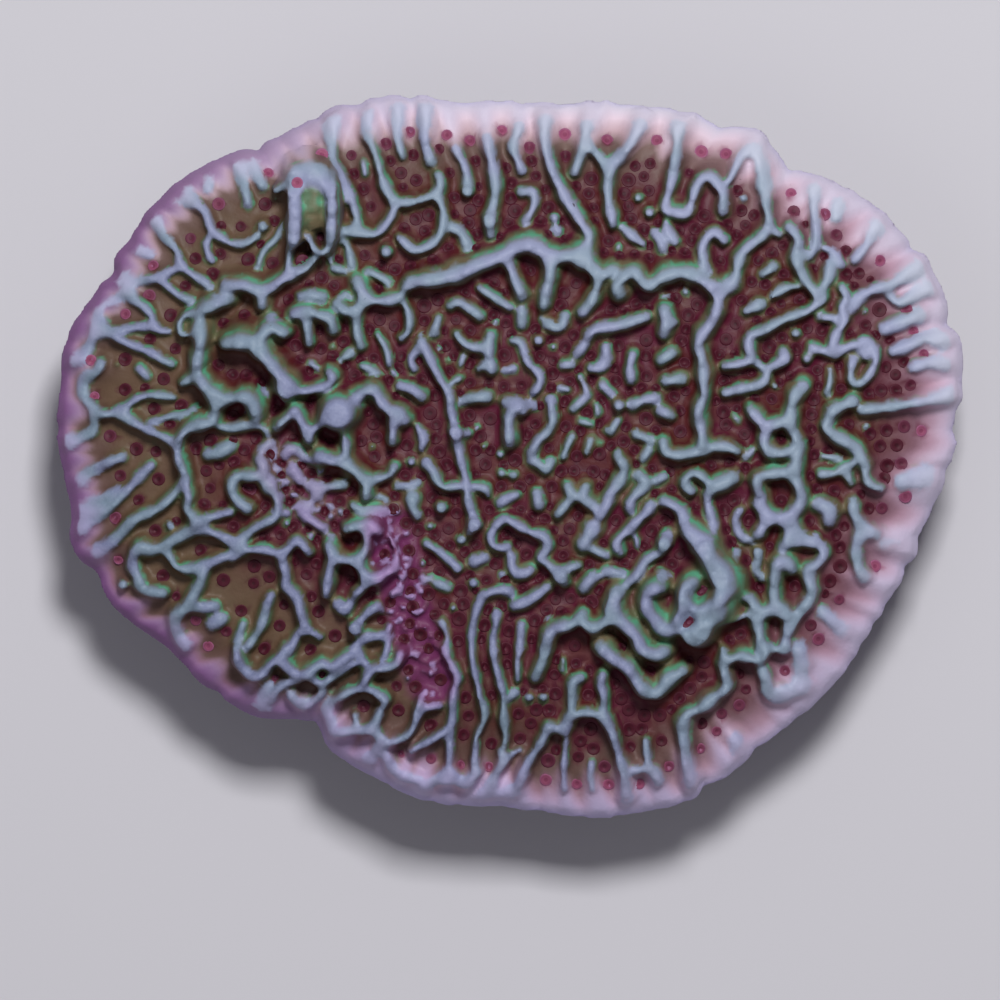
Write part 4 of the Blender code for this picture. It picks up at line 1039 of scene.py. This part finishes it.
# %% Space the calices out
CALYX_SPACING = 0.79 * MM
RIM_WIDTH = 4.0 * MM
RIM_SPACING, OLIVE_SPACING = 2.2, 0.6
CUP_SIZES = (0.85, 1.05)
NEAR_SHRINK = 0.25
BIG_CUP_SIZE = 1.05
BIG_CUPS = ((0.8, "298,184 322,155"), (0.15, "701,592 688,622 250,489 320,240 303,262"))
calices = [(on_plan(place), on_rim, BIG_CUP_SIZE)
           for on_rim, big_places in BIG_CUPS for place in grid_points(big_places)]
for _, spot, inside, near in candidates:
    on_rim = 1.0 - min(inside / RIM_WIDTH, 1.0)
    spacing = CALYX_SPACING * (1 + RIM_SPACING * on_rim + OLIVE_SPACING * float(olive_share(spot.x, spot.y)))
    if all((spot - other).length > spacing for other, _, _ in calices):
        size = random.uniform(*CUP_SIZES) * (1 - NEAR_SHRINK * float(ease(*NEAR_RISE, near)))
        calices.append((spot, on_rim, size))
print(len(calices), "calices")

# %% Press the cups into the skin
CALYX_RADIUS = 0.47 * MM
CALYX_DEPTH = 0.15 * MM
RIM_SHALLOWING = 0.5
CUP_WIDTH = 1.1
UPWARD = (0.1, 0.6)
count = len(colony.data.vertices)
places = np.empty(count * 3)
normals = np.empty(count * 3)
colony.data.vertices.foreach_get("co", places)
colony.data.vertex_normals.foreach_get("vector", normals)
places = places.reshape(-1, 3)
normals = normals.reshape(-1, 3)
cups = kdtree.KDTree(len(calices))
for k, (spot, _, _) in enumerate(calices):
    cups.insert(spot, k)
cups.balance()
cup_distances = np.empty((count, 2))
depths = np.empty(count)
for k, (x, y) in enumerate(places[:, :2]):
    (_, cup, first), (_, _, second) = cups.find_n((x, y, 0.0), 2)
    cup_distances[k] = first / (CALYX_RADIUS * calices[cup][2]), second / CALYX_RADIUS
    depths[k] = CALYX_DEPTH * (1 - RIM_SHALLOWING * calices[cup][1])
upward = ease(*UPWARD, normals[:, 2])
pressed = depths * (1 - ease(0.0, CUP_WIDTH, cup_distances[:, 0])) * upward
places[:, 2] -= pressed
colony.data.vertices.foreach_set("co", places.ravel())
colony.data.update()
print(f"the deepest cup is pressed in by {pressed.max() / MM:.2f} mm")

# %% Model one polyp
POLYP_SIDES = 12
PLUG_DEPTH = 0.4
POLYP_RINGS = ((1.0, 0.0), (0.85, 0.05), (0.62, 0.04), (0.42, 0.05), (0.22, 0.0))


def add_polyp():
    """One polyp of radius 1, a closed plug with its mouth upwards."""
    bpy.ops.object.select_all(action="DESELECT")
    bpy.ops.mesh.primitive_circle_add(vertices=POLYP_SIDES, radius=1.0, fill_type="NGON",
                                      location=(0, 0, -PLUG_DEPTH))
    polyp = bpy.context.object
    bpy.ops.object.transform_apply(location=True)
    bpy.ops.object.mode_set(mode="EDIT")
    radius, height = 1.0, -PLUG_DEPTH
    for ring_radius, ring_height in POLYP_RINGS:
        bpy.ops.mesh.extrude_region_move(TRANSFORM_OT_translate={"value": (0, 0, ring_height - height)})
        bpy.ops.transform.resize(value=(ring_radius / radius, ring_radius / radius, 1))
        radius, height = ring_radius, ring_height
    bpy.ops.mesh.select_all(action="SELECT")
    bpy.ops.mesh.normals_make_consistent(inside=False)
    bpy.ops.object.mode_set(mode="OBJECT")
    return polyp


def pattern_of(piece):
    """A finished pattern's places and faces; the pattern itself is put away."""
    pattern = np.array([vertex.co[:] for vertex in piece.data.vertices])
    faces = [tuple(face.vertices) for face in piece.data.polygons]
    bpy.data.objects.remove(piece)
    return pattern, faces


polyp_pattern, polyp_faces = pattern_of(add_polyp())
print("a polyp has", len(polyp_faces), "faces")

# %% Lay the polyps in the cups
POLYP_RADIUS = 0.43 * MM
POLYP_SIZES = (0.9, 1.1)
RIM_SHRINK = 0.15
SEAT_LIFT = 0.02 * MM
MOST_TILT = 0.5
SKY = 30 * MM
DOWN = Vector((0, 0, -1))
surface = BVHTree.FromObject(colony, bpy.context.evaluated_depsgraph_get())


def skin_height(x, y):
    """Height of the skin at a place on the plan."""
    return surface.ray_cast(Vector((x, y, SKY)), DOWN)[0].z


def draped(spot, radius):
    """A polyp's places when it lies over the skin round a spot."""
    laid = polyp_pattern * radius + np.array((spot.x, spot.y, SEAT_LIFT))
    middle_height = skin_height(spot.x, spot.y)
    heights = [skin_height(x, y) for x, y in laid[:, :2]]
    laid[:, 2] += np.clip(heights, middle_height - MOST_TILT * radius, middle_height + MOST_TILT * radius)
    return laid


def add_polyps():
    """All the polyps as one mesh, with the same faces for each copy's own places."""
    copies = []
    for spot, on_rim, size in calices:
        radius = POLYP_RADIUS * size * (1 - RIM_SHRINK * on_rim) * random.uniform(*POLYP_SIZES)
        copies.append(draped(spot, radius))
    faces = [tuple(index + k * len(polyp_pattern) for index in face)
             for k in range(len(copies)) for face in polyp_faces]
    mesh = bpy.data.meshes.new("coral_polyps")
    mesh.from_pydata(np.vstack(copies).tolist(), [], faces)
    mesh.update()
    mesh.shade_smooth()
    piece = bpy.data.objects.new("coral_polyps", mesh)
    bpy.context.collection.objects.link(piece)
    return piece


polyps = add_polyps()
print("polyps:", len(polyps.data.polygons), "faces")

# %% [markdown]
# ## What each place on the skin is
# The colours of the colony follow its form: pale crests, olive slopes, crimson cups, a pink rim. A
# texture that is laid over the whole would not know a crest from a valley. So each point of the mesh
# measures where it is, how high on its ridge, how far in from the margin and how near to a cup, and keeps
# the answers as attributes that the material can read.

# %% Measure how high each place is on its ridge
LIFT_SPARE = (1.25, 0.05 * MM)
LEAST_LIFT = 0.45 * MM
CREST_FROM = (0.5, 0.12, 0.05)
CREST_START = 0.6 * MM
CREST_WIDTH = (0.0, 0.24)
CREST_FACING = (0.15, 0.4)
inward = way_in(places[:, 0], places[:, 1])
relief_here = grid_value(raised, places[:, 0], places[:, 1])
over_plate = places[:, 2] - plate_top(places[:, 0], places[:, 1])
rise = np.minimum(over_plate, LIFT_SPARE[0] * relief_here + LIFT_SPARE[1])
tall_here = grid_value(tall, places[:, 0], places[:, 1])
lift = rise / np.maximum(tall_here * grid_value(stands, places[:, 0], places[:, 1]), LEAST_LIFT)
crest_from = (CREST_FROM[0] + CREST_FROM[1] * ease(CREST_START, LOW_RIDGE, tall_here)
              + CREST_FROM[2] * ease(LOW_RIDGE, TALL_RIDGE, tall_here))
crest = ease(*CREST_WIDTH, lift - crest_from) * ease(*CREST_FACING, normals[:, 2])
print("crest share of the skin:", round(float((crest > 0.5).mean()), 2))

# %% Keep the measures that follow the ridges and cups
SLOPE_LIFT = (0.04, 0.36)
EDGE_BELOW, EDGE_ABOVE = (-0.3, -0.1), (0.04, 0.18)
EDGE_LIGHT = np.array((0.5, 0.86, 0.0))
EDGE_FACING = (0.05, 0.5)
EDGE_LEAST = 0.3
CUP_EDGE = (0.6, 1.0)
NET_WIDTH = (0.1, 0.6)
UNDER_FACING = (-0.2, 0.3)


def keep(piece, name, values):
    """Keeps a measure of each point as an attribute."""
    attribute = piece.data.attributes.new(name, "FLOAT", "POINT")
    attribute.data.foreach_set("value", values.astype(np.float32))


# The green edge is the tissue's own green, but it is painted stronger on faces turned towards the key light
# in the north: that part is painted light.
facing_key_light = np.clip(normals @ EDGE_LIGHT, 0.0, 1.0)
edge = ease(*EDGE_BELOW, lift - crest_from) * (1 - ease(*EDGE_ABOVE, lift - crest_from))
keep(colony, "crest", crest)
keep(colony, "slope", ease(*SLOPE_LIFT, lift))
keep(colony, "edge", edge * (EDGE_LEAST + (1 - EDGE_LEAST) * ease(*EDGE_FACING, facing_key_light)))
keep(colony, "cup", (1 - ease(*CUP_EDGE, cup_distances[:, 0])) * upward)
keep(colony, "net", 1 - ease(*NET_WIDTH, cup_distances[:, 1] - cup_distances[:, 0]))
keep(colony, "under", 1 - ease(*UNDER_FACING, normals[:, 2]))
print("green edge share of the skin:", round(float((edge > 0.5).mean()), 2))

# %% Keep the measures that follow the plan
FOLD_TONGUE = 1.8 * MM
FOLD_SHARES = (0.5, 0.9)
WEST_PART, EAST_PART = (0.2, 0.9), (0.3, 0.95)
WEST_NARROWING = 0.6
# Painted light: a share that grows towards the north-east, the side of the key light, so that the rim and the
# crests are painted lighter there and darker on the south-west.
PAINTED_LIGHT_WAY = np.array((0.57, 0.82))
PAINTED_LIGHT_REACH = 24 * MM
BAND_WIDTH = 8 * MM
SEAM_SPACING = 0.5 * MM
SEAM_FADE = (0.5, 1.1)


def seam_share(points):
    """How much of the young pink tissue of the seams there is at each point."""
    share = np.zeros(len(points))
    for reach, _, strength, route in SEAMS:
        for spot in smooth_route([on_plan(place) for place in grid_points(route)], SEAM_SPACING):
            distance = np.hypot(points[:, 0] - spot.x, points[:, 1] - spot.y)
            share = np.maximum(share, strength * (1 - ease(*SEAM_FADE, distance / (reach * STEP))))
    return share


angle = np.arctan2(places[:, 1], places[:, 0])
west = ease(*WEST_PART, -np.cos(angle))
tongue = FOLD_TONGUE * fold_at(angle) * ease(0.0, 1.5 * MM, inward)
keep(colony, "inward", np.clip((inward - tongue) / BAND_WIDTH * (1 + WEST_NARROWING * west), 0.0, 1.0))
keep(colony, "fold", FOLD_SHARES[0] + FOLD_SHARES[1] * fold_at(angle))
# Painted light: 1 on the north-east side, which faces the key light, 0 on the south-west.
keep(colony, "sunny", np.clip(0.5 + 0.5 * (places[:, :2] @ PAINTED_LIGHT_WAY) / PAINTED_LIGHT_REACH, 0.0, 1.0))
keep(colony, "west", west)
keep(colony, "east", ease(*EAST_PART, np.cos(angle)))
keep(colony, "olive", olive_share(places[:, 0], places[:, 1]))
keep(colony, "seam", seam_share(places))
radii = np.hypot(polyp_pattern[:, 0], polyp_pattern[:, 1])
keep(polyps, "ring", np.tile(radii, len(calices)))
keep(polyps, "rim", np.repeat([on_rim for _, on_rim, _ in calices], len(radii)))
print("measures kept:", [kept.name for kept in colony.data.attributes if kept.data_type == "FLOAT"])

# %% [markdown]
# ## Living tissue
# The skin is moist living tissue over limestone. Its colour comes from pigments that differ from place to
# place, so one colour or one texture would not do. On the rim and the crests it also holds painted light:
# lighter on the north-east side, where the key light stands, and darker on the south-west, and the green
# edge of the crests is painted stronger on faces turned to that light. The material lays colours over each
# other, and each layer shows as far as its measures say: those that the skin keeps, and noise whose patches
# have a real size. Half matt, with a weak broad gloss, gives the eye a wet skin that is still rough with
# limestone.

# %% Add a node, and lay colours over each other
def linear(hex_colour):
    """An sRGB hex colour as linear RGBA."""
    channels = [int(hex_colour[k:k + 2], 16) / 255 for k in (1, 3, 5)]
    return [c / 12.92 if c <= 0.04045 else ((c + 0.055) / 1.055) ** 2.4 for c in channels] + [1.0]


def node(tree, kind, settings=None, out=0, **inputs):
    """Adds a node, sets its own settings, sets or links its inputs by name or number, gives an output."""
    made = tree.nodes.new(kind)
    for name, value in (settings or {}).items():
        setattr(made, name, value)
    for name, value in inputs.items():
        socket = made.inputs[int(name[1:]) if name[1:].isdigit() else name.replace("_", " ")]
        if isinstance(value, bpy.types.NodeSocket):
            tree.links.new(value, socket)
        else:
            socket.default_value = value
    return made.outputs[out]


def shown(tree, strength, measures):
    """How far a layer shows: its strength times its measures.

    A measure is the name of a kept one, or the patch size and detail of a noise. Two values after it
    draw it out, so that the first becomes 0 and the second 1.
    """
    for source, *ends in measures:
        if isinstance(source, str):
            value = node(tree, "ShaderNodeAttribute", {"attribute_name": source}, out="Fac")
        else:
            where = node(tree, "ShaderNodeTexCoord", out="Object")
            value = node(tree, "ShaderNodeTexNoise", out="Fac", Vector=where, Scale=1 / source[0],
                         Detail=source[1])
        if ends:
            value = node(tree, "ShaderNodeMapRange", {"interpolation_type": "SMOOTHSTEP"}, Value=value,
                         From_Min=ends[0], From_Max=ends[1])
        strength = node(tree, "ShaderNodeMath", {"operation": "MULTIPLY"}, _0=strength, _1=value)
    return strength


def laid_over(tree, colour, *layers):
    """A colour with others laid over it, each as (colour, strength, measure, measure, ...)."""
    for layer, strength, *measures in layers:
        below, above = (linear(c) if isinstance(c, str) else c for c in (colour, layer))
        colour = node(tree, "ShaderNodeMix", {"data_type": "RGBA"}, out=2,
                      _0=shown(tree, strength, measures), _6=below, _7=above)
    return colour


def banded(tree, measure, stops):
    """Colours in bands along a kept measure, through (place, hex) stops."""
    colours = node(tree, "ShaderNodeValToRGB", out="Color", Fac=shown(tree, 1.0, [(measure,)]))
    elements = colours.node.color_ramp.elements
    while len(elements) < len(stops):
        elements.new(0.5)
    for element, (place, hex_colour) in zip(elements, stops):
        element.position = place
        element.color = linear(hex_colour)
    return colours


def new_finish(name, roughness, gloss):
    """A material with its shader's roughness and specular level, its node tree and the shader."""
    material = bpy.data.materials.new(name)
    material.use_nodes = True
    shader = material.node_tree.nodes["Principled BSDF"]
    shader.inputs["Roughness"].default_value = roughness
    shader.inputs["Specular IOR Level"].default_value = gloss
    return material, material.node_tree, shader


print("a middle grey is", round(linear("#808080")[0], 3), "in linear light")

# %% Living tissue of the colony
PATCHES = (5 * MM, 2.0)
BLOTCHES = (1.1 * MM, 3.0)
GREEN_PATCHES = (2.2 * MM, 2.0)
GRAIN = (0.22 * MM, 2.0)
GRAIN_BUMP = 0.06 * MM
# Painted light: the rim's colours twice, a painted shaded copy for the south-west and a painted lit copy for
# the north-east.
PAINTED_SHADE_RIM = ((0.0, "#A89AD4"), (0.05, "#BAA8D0"), (0.14, "#BC98BA"), (0.25, "#966A7C"),
             (0.38, "#644A44"), (0.65, "#4E3630"), (1.0, "#4C2C30"))
PAINTED_LIT_RIM = ((0.0, "#C0BCD8"), (0.06, "#D0C8D6"), (0.2, "#DCC8D4"), (0.33, "#BCA0A8"),
             (0.43, "#74605A"), (0.68, "#5A4438"), (1.0, "#523436"))
EAST_RIM = ((0.0, "#AEA2C4"), (0.12, "#B094B4"), (0.3, "#A07492"), (0.5, "#804E66"), (1.0, "#602C44"))
CUP_BANDS = ((0.0, "#B890B0"), (0.24, "#985C76"), (0.48, "#541828"), (1.0, "#440E20"))


def rim_colour(tree):
    """The growing margin holds few algae: pink and lilac, paler on its folds, violet in the west; painted
    light makes it lighter towards the north-east, the side of the key light, and darker towards the
    south-west.
    """
    # The pale folds are painted lighter on the north-east side, the side of the key light.
    tongue = laid_over(tree, "#A89EC6", ("#CEC6D8", 1.0, ("sunny",)))
    return laid_over(tree, banded(tree, "inward", PAINTED_SHADE_RIM),
                     (banded(tree, "inward", PAINTED_LIT_RIM), 1.0, ("sunny",)),
                     (banded(tree, "inward", EAST_RIM), 0.55, ("east",)),
                     (tongue, 0.8, ("fold",), ("inward", 0.42, 0.1)),
                     ("#6E2E70", 0.85, ("west",), ("inward", 0.35, 0.05)))


def ground_colour(tree):
    """Valleys are maroon, paler in the net between cups, and slopes olive, with a green edge on top that is
    painted stronger where it faces the key light.
    """
    valley = laid_over(tree, "#520E2A",
                       ("#4E161A", 1.0, (PATCHES, 0.4, 0.6)),
                       ("#62383A", 0.6, ("net",)),
                       ("#64523E", 0.8, ("olive",)))
    slope = laid_over(tree, "#6C6048", ("#5A6044", 1.0, (BLOTCHES, 0.35, 0.65)))
    inner = laid_over(tree, valley, (slope, 1.0, ("slope",)), ("#6C285A", 0.85, ("seam",)))
    return laid_over(tree, rim_colour(tree),
                     (inner, 1.0, ("inward", 0.4, 0.85)),
                     (banded(tree, "inward", CUP_BANDS), 1.0, ("cup",)),
                     ("#569C7C", 1.0, ("edge",), ("inward", 0.15, 0.6), ("seam", 0.6, 0.1),
                      (GREEN_PATCHES, 0.35, 0.6)))


def crest_colour(tree):
    """Crests hold few algae, so the pale skeleton shows through: blue grey, lilac out on the rim, and painted
    lighter towards the north-east, the side of the key light.
    """
    inner = laid_over(tree, "#787EA0",
                      ("#848AAA", 1.0, (GRAIN, 0.3, 0.7)),
                      # Painted light: the crests lighter towards the north-east, darker towards the
                      # south-west.
                      ("#989EBC", 1.0, ("sunny", 0.1, 1.0)),
                      ("#789A98", 0.4, (PATCHES, 0.4, 0.6)))
    # Painted light: out on the rim the crests are also lighter towards the north-east.
    outer = laid_over(tree, "#A8A0CA", ("#C2C6D8", 1.0, ("sunny",)))
    return laid_over(tree, outer, (inner, 1.0, ("inward", 0.0, 0.5)), ("#A27EB2", 0.8, ("seam",)))


def living_tissue():
    """Moist tissue over limestone: half matt, so that form and colour show, with a fine grain."""
    material, tree, shader = new_finish("living_tissue_over_limestone", 0.55, 0.3)
    colour = laid_over(tree, ground_colour(tree),
                       (crest_colour(tree), 1.0, ("crest",)),
                       ("#7E6C8E", 1.0, ("under",)))
    tree.links.new(colour, shader.inputs["Base Color"])
    bump = node(tree, "ShaderNodeBump", out="Normal", Strength=0.3, Distance=GRAIN_BUMP,
                Height=shown(tree, 1.0, [(GRAIN,)]))
    tree.links.new(bump, shader.inputs["Normal"])
    return material


colony.data.materials.clear()
colony.data.materials.append(living_tissue())
print("nodes in the tissue:", len(colony.data.materials[0].node_tree.nodes))

# %% Tissue of the polyps
POLYP_INNER = ((0.0, "#2E0A16"), (0.26, "#3A0C1A"), (0.42, "#460E20"), (0.7, "#440E20"), (1.0, "#4C1426"))
POLYP_OUTER = ((0.0, "#7C3854"), (0.3, "#884260"), (0.42, "#96506E"), (0.7, "#904A68"), (1.0, "#9C6084"))


def polyp_tissue():
    """Soft tissue with little gloss: a dark mouth makes each polyp read as a cup, rosier on the rim."""
    material, tree, shader = new_finish("polyp_tissue", 0.6, 0.25)
    colour = laid_over(tree, banded(tree, "ring", POLYP_INNER),
                       (banded(tree, "ring", POLYP_OUTER), 1.0, ("rim", 0.0, 0.6)))
    tree.links.new(colour, shader.inputs["Base Color"])
    return material


polyps.data.materials.append(polyp_tissue())
print("nodes in a polyp's tissue:", len(polyps.data.materials[0].node_tree.nodes))

# %% Tie both pieces to the frame
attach(polyps, "root")
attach(colony, "root")
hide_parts(NODE)

# %% [markdown]
# ## Floor, light and camera
# The colony is shown from straight above, as in the picture, on a plain pale floor. A soft light stands to
# the north, so that each ridge is lit on that side and drops a short shadow on the other.

# %% Floor
bpy.ops.object.select_all(action="DESELECT")
bpy.ops.mesh.primitive_plane_add(size=4.0, location=(0, 0, 0))
floor = bpy.context.object
floor.name = "floor"
pale_floor, _, floor_shader = new_finish("plain_pale_floor", 0.8, 0.5)
floor_shader.inputs["Base Color"].default_value = linear("#C8C6CC")
floor.data.materials.append(pale_floor)

# %% Light
COLONY_HEIGHT = 0.01


def add_light(name, place, size, power):
    """A square area light that looks at the middle of the colony."""
    bpy.ops.object.light_add(type="AREA", location=place)
    light = bpy.context.object
    light.name = name
    light.data.size = size
    light.data.energy = power
    aim = Vector((0, 0, COLONY_HEIGHT)) - Vector(place)
    light.rotation_euler = aim.to_track_quat("-Z", "Y").to_euler()


add_light("key_light", (0.05, 0.2, 0.44), 0.1, 2.08)
add_light("fill_light", (-0.3, -0.3, 0.5), 0.5, 0.35)
world = bpy.data.worlds.new("studio")
bpy.context.scene.world = world
world.use_nodes = True
world.node_tree.nodes["Background"].inputs["Color"].default_value = linear("#DCDCE4")
world.node_tree.nodes["Background"].inputs["Strength"].default_value = 0.21

# %% Camera
PICTURE_MIDDLE = (500, 500)
PICTURE_STEPS = 1000
SENSOR = 36.0
CAMERA_HEIGHT = 1.0
middle = on_plan(PICTURE_MIDDLE)
bpy.ops.object.camera_add(location=(middle.x, middle.y, CAMERA_HEIGHT), rotation=(0, 0, 0))
camera = bpy.context.object
camera.data.sensor_width = SENSOR
camera.data.lens = SENSOR * (CAMERA_HEIGHT - COLONY_HEIGHT) / (PICTURE_STEPS * STEP)
bpy.context.scene.camera = camera
bpy.context.scene.view_settings.view_transform = "Standard"
print(f"lens {camera.data.lens:.0f} mm")
